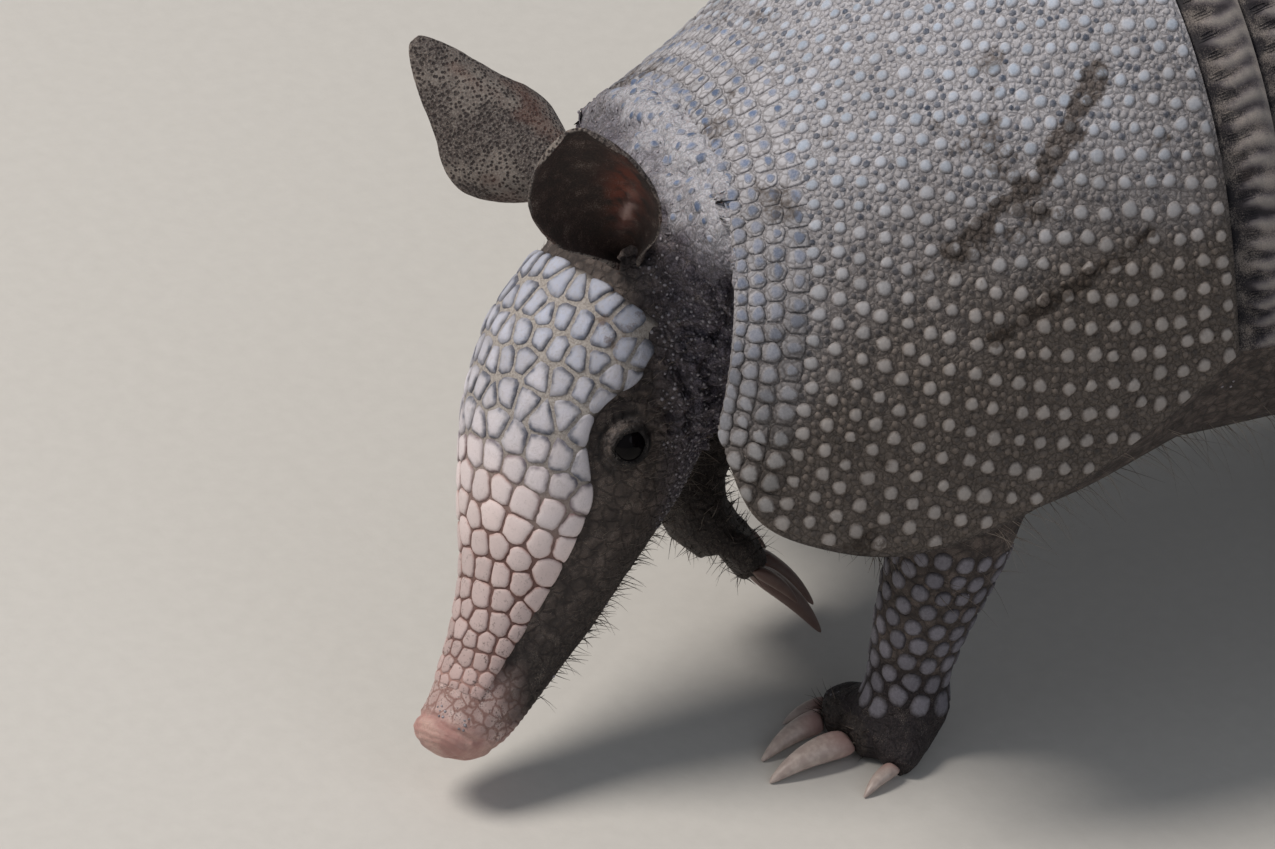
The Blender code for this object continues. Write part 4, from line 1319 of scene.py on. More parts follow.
# nostrils and the soft nose pad
padEdge = 2.6 * mm + 1.2 * mm * bell(side, 3 * mm)
inFront = (back < 8 * mm) & inHeadArea
padGroove = 0.42 * mm * bell(back - padEdge, 0.7 * mm) * smooth(-4 * mm, 1 * mm, rise)
padSwell = 0.35 * mm * bell(back - padEdge + 2.2 * mm, 1.7 * mm)
points += normals * ((padSwell - padGroove) * inFront)[:, None]
for sign in (1, -1):
    spot = noseTip + onward * 2.0 * mm + leftward * faceSettings["nostrilApart"] * sign - upward * 1.2 * mm
    away = points - spot
    near = np.hypot(away @ leftward * np.where(away @ leftward * sign > 0, 0.62, 1.2), away @ upward)
    depth = bell(near, 0.95 * mm) * (abs(away @ onward) < 5 * mm) * (back < 3 * mm)
    points -= (onward * faceSettings["nostrilDepth"] + leftward * sign * 0.5 * mm)[None, :] * depth[:, None]
points = relaxed(points, links, 1, np.where((back < 6 * mm)[:, None], 0.3, 0.0))

# the head's plate lies in a bed of skin
def fromNose(point):
    return float(np.linalg.norm(np.array(point) - noseTip))


def toLeft(point):
    return float((np.array(point) - noseTip) @ leftward)


headSheet = plateSheet("head_shield", 1.1 * mm, fromNose, toLeft)
bed = gridSurface(headSheet["table"])
nearEye = nearAny(points, eyePlaces, 9 * mm)
for k in np.nonzero((back < 112 * mm) & (points[:, 1] < bodyPlaces["headRear"]))[0]:
    place, normal, _, gap = bed.find_nearest(Vector(points[k]))
    if gap > 8 * mm:
        continue
    away = Vector(points[k]) - place
    beside = (away - normal * away.dot(normal)).length
    over = away.dot(normal) + 0.25 * mm + 0.85 * mm * float(smooth(11 * mm, 17 * mm, back[k]))
    if over > 0 and beside < 0.25 * mm:
        points[k] -= np.array(normal) * over
    elif -4 * mm < over < 0 and not nearEye[k]:
        cover = 1 - float(smooth(0.3 * mm, 6 * mm, beside))
        above = (0.15 + 0.35 * float(1 - smooth(12 * mm, 20 * mm, back[k]))) * mm
        points[k] -= np.array(normal) * (over + above) * cover
movePoints(skin, points)
print("face shaped")


# Ears

earSettings = {
    "levels": 3,
    "ripple": 0.12 * mm,
}


def buildEar(side):
    # a soft ear, and which of its points lie in the hollow
    work = mergedNode("ear_" + side)
    innerFaces = {face.index for face in plateSides(work)[1]}
    work.faces.ensure_lookup_table()
    corners = [[vertex.co.copy() for vertex in face.verts] for face in work.faces]
    isInner = np.array([face.index in innerFaces for face in work.faces], float)
    flat = [vertex for face in corners for vertex in face]
    lookup = BVHTree.FromPolygons(flat, [(3 * k, 3 * k + 1, 3 * k + 2) for k in range(len(corners))])
    ear = softPiece(work, "ear" + side, earSettings["levels"])
    points = pointsOf(ear)
    points = points + normalsOf(ear) * (noiseAt(points, 3 * mm, 3, 6.0) * earSettings["ripple"])[:, None]
    movePoints(ear, points)
    inner = np.array([isInner[lookup.find_nearest(Vector(p))[2]] for p in points])
    return ear, inner


earLooks = []
for side in ("left", "right"):
    ear, inner = buildEar(side)
    earLooks.append((pointsOf(ear), inner))
    applyModifier(skin, "BOOLEAN", {"operation": "UNION", "solver": "MANIFOLD", "object": ear})
    bpy.data.objects.remove(ear)
points = pointsOf(skin)
print("ears joined", len(points))

# the fold where an ear meets the head is eased a little
earPoints = np.concatenate([look[0] for look in earLooks])
earInner = np.concatenate([look[1] for look in earLooks])
earTree = searchTree(earPoints)
onEar = np.zeros(len(points))
innerEar = np.zeros(len(points))
earBoxes = [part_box("ear_" + side) for side in ("left", "right")]
low = np.minimum(*[np.array(box[0]) for box in earBoxes])
high = np.maximum(*[np.array(box[1]) for box in earBoxes])
for k in np.nonzero(boxed(points, low, high, 2 * mm, 2 * mm))[0]:
    _, index, gap = earTree.find(Vector(points[k]))
    onEar[k] = gap < 0.05 * mm
    innerEar[k] = earInner[index]
links = linksOf(skin)
softEar = relaxed(onEar[:, None], links, 3, 0.5)[:, 0]
seam = 4 * softEar * (1 - softEar)
points = relaxed(points, links, 4, (0.5 * np.clip(seam * 1.5, 0, 1))[:, None])
movePoints(skin, points)
skin.data.shade_smooth()

earSkin = points[innerEar > 0.5]
leftMiddle = earSkin[earSkin @ leftward > noseTip @ leftward].mean(0)
intoEar = unit(np.array([-0.785, 0.366, -0.5]))
acrossEar = unit(np.cross(intoEar, (0.0, 0.0, 1.0)))
upEar = np.cross(acrossEar, intoEar)


def earFolds(points):
    # a red hollow and a small pale flap deep in the left ear, as shares from 0 to 1
    away = points - leftMiddle
    wide, high = away @ acrossEar, away @ upEar
    red = bell(high - 3.2 * mm, 5.5 * mm) * bell(wide - 3.6 * mm, 3.4 * mm)
    flap = bell(high + 0.4 * mm, 2.6 * mm) * bell(wide - 4.0 * mm - 0.25 * high, 1.2 * mm)
    left = (away @ leftward > -12 * mm) & (lengthOf(away) < 24 * mm)
    return red * left, flap * left


points = points + normalsOf(skin) * (earFolds(points)[1] * innerEar * 1.1 * mm)[:, None]
movePoints(skin, points)


# Skin colours

def skinMarks(piece):
    # where the skin is pink, dark, dusty, or something between
    points = pointsOf(piece)
    back, _, rise = inHead(points).T
    isHead = (back < 106 * mm) & (points[:, 1] < -236 * mm) & (points[:, 2] < 125 * mm)
    wander = noiseAt(points, 8 * mm, 3, 1.0)
    marks = {"pink": (1 - smooth(7 * mm, 19 * mm, back + 4 * mm * wander - 0.5 * rise)) * isHead}
    marks["pad"] = (1 - smooth(2.6 * mm, 5.6 * mm, back + 1.3 * mm * wander)) * isHead
    underSide = 1 - smooth(-4 * mm, 4 * mm, rise + 0.17 * back + 2 * mm * wander)
    marks["jaw"] = underSide * smooth(3 * mm, 16 * mm, back) * isHead
    marks["neck"] = plateau(points[:, 1], *bodyPlaces["neckColour"]) * (points[:, 2] > 48 * mm)
    foot = 1 - smooth(12 * mm, 20 * mm, points[:, 2])
    for box in footBoxes[:2]:
        low, high = (np.array(corner) for corner in box)
        centre = (low + high) / 2
        foot = np.maximum(foot, 1 - smooth(12 * mm, 17 * mm, lengthOf(points - centre)))
    marks["foot"] = foot * ~isHead
    # lid: dark skin round the eye's opening, partly painted shade of the lids, and a dark line along the
    # crease above the brow that is painted shade
    lid, brow = np.zeros(len(points)), np.zeros(len(points))
    for side, centre in eyeCentres.items():
        out, ahead, above = eyeFrame(side)
        away = points - centre
        halfWide, halfHigh = skinSettings["lidOpening"]
        e = np.hypot(away @ ahead / halfWide, away @ above / halfHigh) + (away @ out < 0) * 9
        upperSide = smooth(-0.3, 0.5, away @ above / halfHigh)
        lid = np.maximum(lid, 1 - smooth(1.6, 2.15, e + 0.25 * wander - 0.2 * (1 - upperSide)))
        lid = np.maximum(lid, 0.85 * bell(e - 2.65, 0.24) * upperSide)
        onBrow = bell(e + 0.4 * wander - 2.1, 0.24) * upperSide
        brow = np.maximum(brow, onBrow * np.clip(0.45 + 0.7 * wander, 0, 0.75))
    marks["lid"], marks["brow"] = lid, brow
    marks["redFold"], marks["flap"] = earFolds(points)
    marks["ear"], marks["innerEar"] = softEar, innerEar
    # nape: pale near the shell's rim and paler higher up, partly a dusty crust and partly painted light
    # where the light falls on the top of the neck
    rimGap = np.full(len(points), 1.0)
    for k in np.nonzero((points[:, 1] < -200 * mm) & (points[:, 2] > 100 * mm))[0]:
        rimGap[k] = rimTree.find(Vector(points[k]))[2]
    nape = 1 - smooth(5 * mm, 17 * mm, rimGap + 4 * mm * noiseAt(points, 6 * mm, 3, 3.5))
    below = points[:, 2] - rimRow[:, 2].max() + 5 * mm * noiseAt(points, 8 * mm, 3, 3.5)
    nape = nape * (0.35 * smooth(-42 * mm, -18 * mm, below) + 0.65 * smooth(-14 * mm, -5 * mm, below))
    marks["nape"] = nape * (1 - smooth(0.1, 0.4, softEar))
    for name, value in marks.items():
        setAttribute(piece, name, value)


# each colour of the skin: the pattern it follows, where on it the change begins and ends, and both colours
skinColours = {
    "body": ("blotch", 0.35, 0.7, "#403835", "#5E534E"),
    "jaw": ("fine", 0.4, 0.7, "#2E2725", "#544B46"),
    "neck": ("fine", 0.38, 0.66, "#37323C", "#77717D"),
    "pink": ("blotch", 0.35, 0.68, "#B29792", "#CDB6B1"),
    "pad": ("blotch", 0.35, 0.68, "#AF857E", "#C8A59B"),
    "foot": ("fine", 0.4, 0.7, "#1F191B", "#3C3436"),
    "nape": ("fine", 0.36, 0.62, "#96959C", "#C2C1C8"),
    "brow": ("fine", 0.4, 0.64, "#403C3D", "#77716F"),
    "earNet": ("wide", 0.42, 0.66, "#403735", "#766D67"),
    "innerEar": ("fine", 0.42, 0.7, "#1E1816", "#3D312C"),
    "flap": ("blotch", 0.4, 0.6, "#6E4A44", "#A38781"),
}


def skinMaterial():
    # leathery bare skin: pink at the nose, dark and dusty on cheeks, neck and legs, pitted on the ears
    material, tree = newMaterial("bare skin")
    patterns = {"blotch": noiseNode(tree, 3.2 * mm, 4), "fine": noiseNode(tree, 0.4 * mm, 5, 0.7),
                "wide": noiseNode(tree, 9 * mm, 2)}
    blotch, fine = patterns["blotch"], patterns["fine"]
    grit = noiseNode(tree, 0.16 * mm, 3, 0.7)
    inward = crackNode(tree, 2.4 * mm, 0.45)
    pink, jaw, neck, pad, foot, nape = (
        attributeOf(tree, name) for name in ("pink", "jaw", "neck", "pad", "foot", "nape"))
    lid, brow, ear, innerEar, redFold, flap = (
        attributeOf(tree, name) for name in ("lid", "brow", "ear", "innerEar", "redFold", "flap"))
    colours = {name: patched(tree, patterns[pattern], low, high, first, second)
               for name, (pattern, low, high, first, second) in skinColours.items()}
    # the pink snout: dark specks, and seams that carry on where the head's tiles end, faint on the pad
    pinkColour = mixed(tree, pad, colours["pink"], colours["pad"])
    specks = ranged(tree, plus(tree, fine, times(tree, blotch, 0.5)), 0.8, 0.87, 0.0, 0.75)
    specks = times(tree, specks, ranged(tree, pad, 0, 1, 1, 0.25))
    pinkColour = mixed(tree, specks, pinkColour, "#54403C")
    seams = times(tree, ranged(tree, inward, 0.02, 0.16, 0.75, 0.0), ranged(tree, pad, 0, 1, 1, 0.1))
    pinkColour = mixed(tree, seams, pinkColour, "#80594F")
    # the ears: a pale net around dark pits outside, dark inside with a red fold and a pale flap
    cells = addNode(tree, "ShaderNodeTexVoronoi", {"Scale": 1 / (0.8 * mm), "Randomness": 0.8},
                    {"Vector": ownSpace(tree)})
    pit = ranged(tree, cells.outputs["Distance"], 0.26, 0.5)
    net = patched(tree, fine, 0.42, 0.66, colours["earNet"], mixed(tree, 0.4, colours["earNet"], "#B2A9A1"))
    outerColour = mixed(tree, pit, "#2E2625", net)
    brownish = ranged(tree, noiseNode(tree, 11 * mm, 2), 0.52, 0.72, 0.0, 0.45)
    outerColour = mixed(tree, brownish, outerColour, "#664439")
    innerColour = mixed(tree, ranged(tree, blotch, 0.35, 0.7, 0.1, 0.5), colours["innerEar"], "#351C16")
    reddened = times(tree, redFold, ranged(tree, noiseNode(tree, 4.5 * mm, 3), 0.36, 0.6, 0.0, 0.85))
    innerColour = mixed(tree, reddened, innerColour, "#7A3A28")
    innerColour = mixed(tree, flap, innerColour, colours["flap"])
    earColour = mixed(tree, innerEar, outerColour, innerColour)
    # the parts lie over each other, from the body to the ears
    colour = mixed(tree, jaw, colours["body"], colours["jaw"])
    colour = mixed(tree, neck, colour, colours["neck"])
    bare = times(tree, minus(tree, 1.0, pink), minus(tree, 1.0, ear))
    # painted shade in the leather's creases, where the bump is low
    creaseShade = times(tree, ranged(tree, inward, 0.0, 0.16, 0.55, 0.0), bare)
    colour = mixed(tree, creaseShade, colour, "#1F1A1A")
    # a pale crust on the nape, partly painted light, with darker cracks
    crustAndLight = mixed(tree, ranged(tree, inward, 0.01, 0.1, 0.4, 0.0), colours["nape"], "#6A666B")
    # the lid colour is partly dark skin and partly painted shade of the lids and their crease
    for share, over in ((nape, crustAndLight), (pink, pinkColour), (foot, colours["foot"]), (brow, colours["brow"]),
                        (lid, "#151112"), (ear, earColour)):
        colour = mixed(tree, share, colour, over)
    dusty = ranged(tree, plus(tree, grit, times(tree, blotch, 0.5)), 0.84, 0.98, 0.0, 0.55)
    colour = mixed(tree, times(tree, dusty, minus(tree, 1.0, pink)), colour, "#A5998F")
    pitHeight = times(tree, times(tree, pit, ear), minus(tree, 1.0, innerEar))
    leather = times(tree, times(tree, ranged(tree, inward, 0.0, 0.25), bare), 1.6)
    height = plus(tree, plus(tree, fine, pitHeight), leather)
    rough = ranged(tree, pink, 0.0, 1.0, 0.72, 0.48)
    finishSurface(tree, colour, rough, height, 0.16 * mm, {
        "Specular IOR Level": 0.4,
        "Subsurface Weight": 0.06,
        "Subsurface Radius": (1.2 * mm, 0.5 * mm, 0.3 * mm),
        "Subsurface Scale": 1.0,
    })
    return material


skin.data.materials.clear()
skin.data.materials.append(skinMaterial())
skinMarks(skin)
for node in fleshNodes + ["ear_left", "ear_right"]:
    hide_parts(node)
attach(skin, "root")
print("skin finished", len(skin.data.polygons))


# Eyes

eyeMaterial, tree = newMaterial("eye")
# wet black ball with a hint of brown
eyeColour = mixed(tree, noiseNode(tree, 1.5 * mm), "#060506", "#0E0A0C")
finishSurface(tree, eyeColour, 0.09, None, extra={"Specular IOR Level": 0.1})
for side, centre in eyeCentres.items():
    bpy.ops.mesh.primitive_uv_sphere_add(segments=40, ring_count=24, radius=skinSettings["eyeBall"])
    eye = bpy.context.object
    eye.name = side + "Eye"
    movePoints(eye, pointsOf(eye) + centre)
    eye.location = (0, 0, 0)
    eye.data.shade_smooth()
    eye.data.materials.append(eyeMaterial)
    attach(eye, "root")
    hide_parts("eye_" + side)


# Claws

clawSettings = {
    "levels": 2,               # rounds of smoothing
    "rootShare": 0.45,         # share of its length over which the pink root fades
    "rootStrength": 0.7,
    "brownStrength": 0.85,     # the claws of the lifted right forefoot are brown
}

clawMaterial, tree = newMaterial("claw horn")
# long striated horn, ivory with a pinkish root, worn smooth by digging
streak = addNode(tree, "ShaderNodeTexNoise", {"Scale": 1 / (1.6 * mm), "Detail": 3},
                 {"Vector": ownSpace(tree)}).outputs["Fac"]
clawColour = patched(tree, streak, 0.35, 0.7, "#AD9C95", "#C3B4AC")
clawColour = mixed(tree, attributeOf(tree, "root"), clawColour, "#A87F79")
clawColour = mixed(tree, attributeOf(tree, "brown"), clawColour, "#6B5149")
finishSurface(tree, clawColour, 0.42, streak, 0.05 * mm, {"Specular IOR Level": 0.45})


def buildClaw(node):
    settings = clawSettings
    claw = softPiece(mergedNode(node), node.replace("_", "") + "Horn", settings["levels"])
    points = pointsOf(claw)
    far = lengthOf(points - middleOf(node.replace("claw", "foot")[:-2]))
    root = 1 - smooth(far.min(), far.min() + settings["rootShare"] * (far.max() - far.min()), far)
    brown = settings["brownStrength"] if node.startswith("foreclaw_right") else 0.0
    claw.data.shade_smooth()
    claw.data.materials.append(clawMaterial)
    setAttribute(claw, "root", root * settings["rootStrength"])
    setAttribute(claw, "brown", np.full(len(points), brown))
    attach(claw, "root")
    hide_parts(node)


for node in sorted(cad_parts):
    if "claw" in node:
        buildClaw(node)
print("eyes and claws done")


# Tiles of the head

headSettings = {
    "sink": 0.35 * mm,
    "thickness": 1.8 * mm,
    "rounding": 2.6 * mm,
    "rimSink": 0.5 * mm,        # how far the rim reaches below the plate, into the skin
    "noseSize": 3.1 * mm,       # width of the tiles at the snout's tip
    "middleSize": 5.3 * mm,     # in the middle of the head
    "crownSize": 4.2 * mm,      # and on the crown, where they are longer than wide
    "height": 0.5 * mm,
    "gap": 0.2 * mm,            # width of the seams
    "crownGap": 0.62 * mm,
    "bareCorner": 8 * mm,      # no tiles this near to the plate's rear corners
}


def spreadOnSheet(sheet, u, v, reach, rounds, margin):
    # lets tiles of different size find their room on a sheet that widens
    for _ in range(rounds):
        points = onSheet(sheet, "table", u, v)
        tree = searchTree(points)
        move = np.zeros_like(points)
        for k, point in enumerate(points):
            for _, other, gap in tree.find_range(Vector(point), 2.2 * reach.max()):
                free = reach[k] + reach[other] - gap
                if other != k and free > 0 and gap > 0:
                    move[k] += (point - points[other]) / gap * free * 0.4
        stretchU = onSheet(sheet, "stretchU", u, v)[:, 0]
        stretchV = onSheet(sheet, "stretchV", u, v)[:, 0]
        u = u + (move * onSheet(sheet, "alongU", u, v)).sum(1) / stretchU
        v = v + (move * onSheet(sheet, "alongV", u, v)).sum(1) / stretchV
        u = np.clip(u, margin * reach / stretchU, 1 - margin * reach / stretchU)
        v = np.clip(v, margin * reach / stretchV, 1 - margin * reach / stretchV)
    return u, v


def headColours(piece, u):
    # u is how far up the head each point lies, from the snout to the crown
    points = pointsOf(piece)
    wander = noiseAt(points, 9 * mm, 3, 2.5)
    setAttribute(piece, "up", np.clip(u + 0.06 * wander, 0, 1))
    dirt = smooth(0.35, 0.7, noiseAt(points, 13 * mm, 4, 8.0)) * smooth(0.5, 0.75, u)
    setAttribute(piece, "mud", dirt * 0.8)


def headHorn(name, stops, crestShade, roughness, dustiness):
    # keratin over bone, pink and clean at the snout, blue grey and dusty on the crown: stops run from the
    # snout to the crown; crestShade is how dark the tiles' edges are, partly their own colour and partly
    # painted shade on their sloping sides
    material, tree = newMaterial(name)
    up, tone = attributeOf(tree, "up"), attributeOf(tree, "tone")
    crest, mud = attributeOf(tree, "crest"), attributeOf(tree, "mud")
    blotch = noiseNode(tree, 1.3 * mm, 4)
    fine = noiseNode(tree, 0.45 * mm, 5, 0.75)
    mixture = plus(tree, times(tree, tone, 0.4), times(tree, blotch, 0.8))
    colour = shaded(tree, colourAlong(tree, up, stops), ranged(tree, mixture, 0.0, 0.9, 0.88, 1.07))
    edge = plus(tree, crest, times(tree, minus(tree, blotch, 0.5), 0.35))
    edgeStart, edgeEnd = ranged(tree, up, 0.4, 0.65, -0.05, 0.3), ranged(tree, up, 0.4, 0.65, 0.5, 0.95)
    side = ranged(tree, edge, edgeStart, edgeEnd, 1.0, 0.0)
    # the tiles' darker edges: partly their own colour, partly painted shade on their slopes, its strength
    # wandering from patch to patch
    sideColourAndShade = patched(tree, up, 0.4, 0.62, "#A8827B", "#50586C")
    oneSidedShade = ranged(tree, noiseNode(tree, 3.6 * mm, 3), 0.38, 0.62, 0.3 * crestShade, crestShade)
    colour = mixed(tree, times(tree, side, oneSidedShade), colour, sideColourAndShade)
    crown = ranged(tree, up, 0.5, 0.8)
    dusty = minus(tree, plus(tree, fine, blotch), times(tree, crest, 0.2))
    dusty = times(tree, ranged(tree, dusty, 0.62, 1.02), ranged(tree, up, 0.3, 0.85, 0.1, dustiness))
    colour = mixed(tree, dusty, colour, patched(tree, fine, 0.4, 0.6, "#948B84", "#C3BCB6"))
    # crumbs of dry earth on the crown and dark specks on the snout
    clods = plus(tree, times(tree, noiseNode(tree, 5 * mm, 4, 0.65), 0.9), times(tree, mud, 0.22))
    clods = ranged(tree, plus(tree, clods, times(tree, fine, 0.3)), 0.76, 0.88)
    earth = times(tree, clods, ranged(tree, up, 0.45, 0.7, 0.0, 0.65))
    colour = mixed(tree, earth, colour, "#6A5548")
    specks = plus(tree, fine, times(tree, blotch, 0.5))
    specks = times(tree, ranged(tree, specks, 0.8, 0.92), ranged(tree, up, 0.05, 0.4, 0.8, 0.15))
    colour = mixed(tree, specks, colour, "#4A3A36")
    colour = mixed(tree, attributeOf(tree, "brim"), colour, "#3A3230")
    crumbly = times(tree, fine, ranged(tree, up, 0.4, 0.75, 0.25, 1.0))
    rough = ranged(tree, crown, 0.0, 1.0, roughness, 0.8)
    finishSurface(tree, colour, rough, crumbly, 0.3 * mm, {"Specular IOR Level": 0.35})
    return material


tileStops = [(0.0, "#C4A9A5"), (0.12, "#BFA9A6"), (0.26, "#CFBCBA"), (0.42, "#E8D8D7"), (0.62, "#DFDAE1"),
             (0.9, "#C1C6D8")]
groundStops = [(0.0, "#B58E86"), (0.12, "#6E4C46"), (0.3, "#6B4A44"), (0.42, "#80625C"), (0.6, "#9A938F"),
               (0.9, "#AAA4A0")]
headTileHorn = headHorn("head tile horn", tileStops, crestShade=1.0, roughness=0.5, dustiness=0.3)
headGround = headHorn("head plate ground", groundStops, crestShade=0.0, roughness=0.85, dustiness=0.9)


def dressHead():
    settings = headSettings
    outer = headSheet
    table = outer["table"]
    rows, columns = table.shape[:2]
    # the plate sinks into the skin at its two rear corners and a little at its front
    fromCorners = np.minimum(*[lengthOf(table - table[-1, side]) for side in (0, -1)])
    hidden = -2.6 * mm * (1 - smooth(3 * mm, 9 * mm, fromCorners))
    fromFront = (np.linspace(0, 1, rows) * outer["lengthU"])[:, None]
    hidden = hidden - 0.3 * mm * (1 - smooth(0, 5 * mm, fromFront))
    body = plateBody("headPlate", outer, settings["thickness"], settings["sink"], settings["rounding"],
                     headGround, hidden, 1.0, settings["rimSink"])
    alongBody = np.tile(np.repeat(np.linspace(0, 1, rows), columns), 2)
    headColours(body, alongBody)
    fromEdge = edgeDistance(outer).ravel() + 0.5 * mm * noiseAt(table.reshape(-1, 3), 3 * mm, 2)
    brim = 1 - smooth(0.7 * mm, 2.4 * mm, fromEdge)
    brim = brim * smooth(0.12, 0.3, alongBody[:rows * columns])
    setAttribute(body, "brim", np.concatenate([brim, brim]))
    surface = surfaceOf(body)
    # rows of tiles from the snout to the crown
    us, vs, sizes = [], [], []
    u = 0.012
    row = 0
    while u < 0.99:
        size = settings["noseSize"] + (settings["middleSize"] - settings["noseSize"]) * smooth(0.0, 0.38, u)
        size = size + (settings["crownSize"] - settings["middleSize"]) * smooth(0.5, 0.72, u)
        across = onSheet(outer, "table", np.full(60, u), np.linspace(0, 1, 60))
        width = lengthOf(np.diff(across, axis=0)).sum()
        count = max(3, round(width / size))
        v = (np.arange(count) + (0.3 if row % 2 else 0.7)) / count
        us.append(np.full(count, u))
        vs.append(v)
        sizes.append(np.full(count, size))
        u += size * (1.05 + 0.4 * smooth(0.4, 0.65, u)) / outer["lengthU"]
        row += 1
    u, v, size = np.concatenate(us), np.concatenate(vs), np.concatenate(sizes)
    size = size * chance.uniform(0.86, 1.14, len(size))
    u = u + chance.normal(0, 0.13, len(u)) * size / outer["lengthU"]
    v = v + chance.normal(0, 0.1, len(v)) * size / onSheet(outer, "stretchV", u, v)[:, 0]
    u, v = spreadOnSheet(outer, u, v, size * 0.54, 14, 0.8)
    places = onSheet(outer, "table", u, v)
    kept = ~nearAny(places, table[-1, [0, -1]], settings["bareCorner"])
    u, v, size = u[kept], v[kept], size[kept]
    height = settings["height"] * (0.45 + 0.55 * smooth(0.0, 0.2, u))
    seeds = seedsOnSheet(outer, u, v, height, chance.uniform(-1, 1, len(u)))
    stretches = [onSheet(outer, key, u, v)[:, 0] for key in ("stretchU", "stretchV")]
    seeds["bakeSpan"] = 1 / np.stack(stretches, -1)
    angles = anglesOf(18)
    caps = np.tile((size * 0.66)[:, None], (1, len(angles)))
    longer = 0.22 + 0.42 * smooth(0.35, 0.65, u)
    caps = caps * (1 + longer[:, None] * np.cos(angles)[None, :] ** 2)
    wider = smooth(0.5, 0.75, u + chance.normal(0, 0.05, len(u)))
    gap = settings["gap"] + (settings["crownGap"] - settings["gap"]) * wider
    outlines = cellOutlines(seeds, size * 0.5, caps, gap, 13)
    outlines = outlines * (1 + chance.normal(0, 0.03, outlines.shape[:2]))[..., None]
    tiles = layTiles("headTiles", seeds, outlines, pillowTile, surface, headTileHorn)
    headColours(tiles, np.repeat(u, len(tiles.data.vertices) // len(u)))
    for piece in (body, tiles):
        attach(piece, "root")
        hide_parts("head_shield")
    print("head dressed with", len(u), "tiles")


dressHead()


# Scutes that lie on the skin itself: legs, tail, neck and nape

skinSurface = surfaceOf(skin)


def unrolled(places):
    # opens a sleeve of skin: share of its length, share of a turn around it, and what a metre is in both
    axes = np.linalg.svd(places - places.mean(0), full_matrices=False)[2]
    length, across, up = ((places - places.mean(0)) @ axes.T).T
    radius = max(float(np.hypot(across, up).mean()), 1 * mm)
    turn = np.arctan2(up, across) / (2 * math.pi) + 0.5
    share = (length - length.min()) / (np.ptp(length) + mm)
    return np.stack([share, turn], -1), np.array([1 / (np.ptp(length) + mm), 1 / (2 * math.pi * radius)])


def seedsOnSkin(points, along, height, tone):
    places, normals = settle(points, skinSurface)
    along = along - normals * (along * normals).sum(1, keepdims=True)
    bakePlace, bakeSpan = unrolled(places)
    return {
        "point": places,
        "normal": normals,
        "along": unit(along),
        "height": np.broadcast_to(height, (len(places),)).astype(float),
        "tone": np.broadcast_to(tone, (len(places),)).astype(float),
        "bakePlace": bakePlace,
        "bakeSpan": np.tile(bakeSpan, (len(places), 1)),
    }


def centreLine(nodes, axis, step):
    # middle points of a limb, slice by slice along one world axis
    points = np.array([v.co[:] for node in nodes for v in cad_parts[node].data.vertices])
    marks = np.arange(points[:, axis].min() + step / 2, points[:, axis].max(), step)
    line = []
    for mark in marks:
        slab = points[abs(points[:, axis] - mark) < step]
        if len(slab):
            line.append((slab.min(0) + slab.max(0)) / 2)
    line = np.array(line)
    for _ in range(2):
        line[1:-1] = (line[:-2] + 2 * line[1:-1] + line[2:]) / 4
    return line


def aroundLimb(line, alongStep, aroundStep, reach, keep):
    # staggered rows of points on the skin around a middle line, their directions and shares of its length
    lengths = np.concatenate([[0], np.cumsum(lengthOf(np.diff(line, axis=0)))])
    found, directions, shares = [], [], []
    def pointAt(at):
        return np.array([np.interp(at, lengths, line[:, k]) for k in range(3)])
    for row in range(int(lengths[-1] / alongStep)):
        at = (row + 0.5) * alongStep
        middle = pointAt(at)
        ahead = unit(pointAt(at + alongStep) - pointAt(at - alongStep))
        first = unit(np.cross(ahead, (1.0, 0.0, 0.0)))
        second = np.cross(ahead, first)
        def hitsAt(angles):
            rays = [Vector(first * math.cos(angle) + second * math.sin(angle)) for angle in angles]
            hits = [skinSurface[0].ray_cast(Vector(middle), ray, reach)[0] for ray in rays]
            return [np.array(hit) for hit in hits if hit is not None]
        known = hitsAt(np.linspace(0, 2 * math.pi, 49)[:-1])
        if len(known) < 30:  # the limb is open here, such as where it leaves the body
            continue
        radius = np.mean(lengthOf(np.array(known) - middle))
        count = max(5, round(2 * math.pi * radius / aroundStep))
        for hit in hitsAt([(k + 0.5 * (row % 2)) / count * 2 * math.pi for k in range(count)]):
            if keep(hit):
                found.append(hit)
                directions.append(ahead)
                shares.append(at / lengths[-1])
    return np.array(found), np.array(directions), np.array(shares)


# the leg scutes' colours are darkened as painted shade, the shade under the shell; the tail's scutes share
# them
legHornAndShade = hornMaterial("leg scute horn", ("#807E87", "#4A464D"), ("#75727C", "#393438"),
                       dustUpper=0.18, dustLower=0.1)
granuleHorn = hornMaterial("granule horn", ("#A9A5AE", "#6F6A75"), ("#97929B", "#57525B"), 0.3,
                           dustUpper=0.6, dustLower=0.3)


def finishTiles(piece, low=0.6):
    # low chooses between the colours of the back (0) and of the flanks (1), the flanks' darker partly as
    # painted shade
    setAttribute(piece, "low", np.full(len(piece.data.vertices), low))
    setAttribute(piece, "mud", smooth(0.4, 0.75, noiseAt(pointsOf(piece), 11 * mm, 3, 5.0)) * 0.5)
    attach(piece, "root")


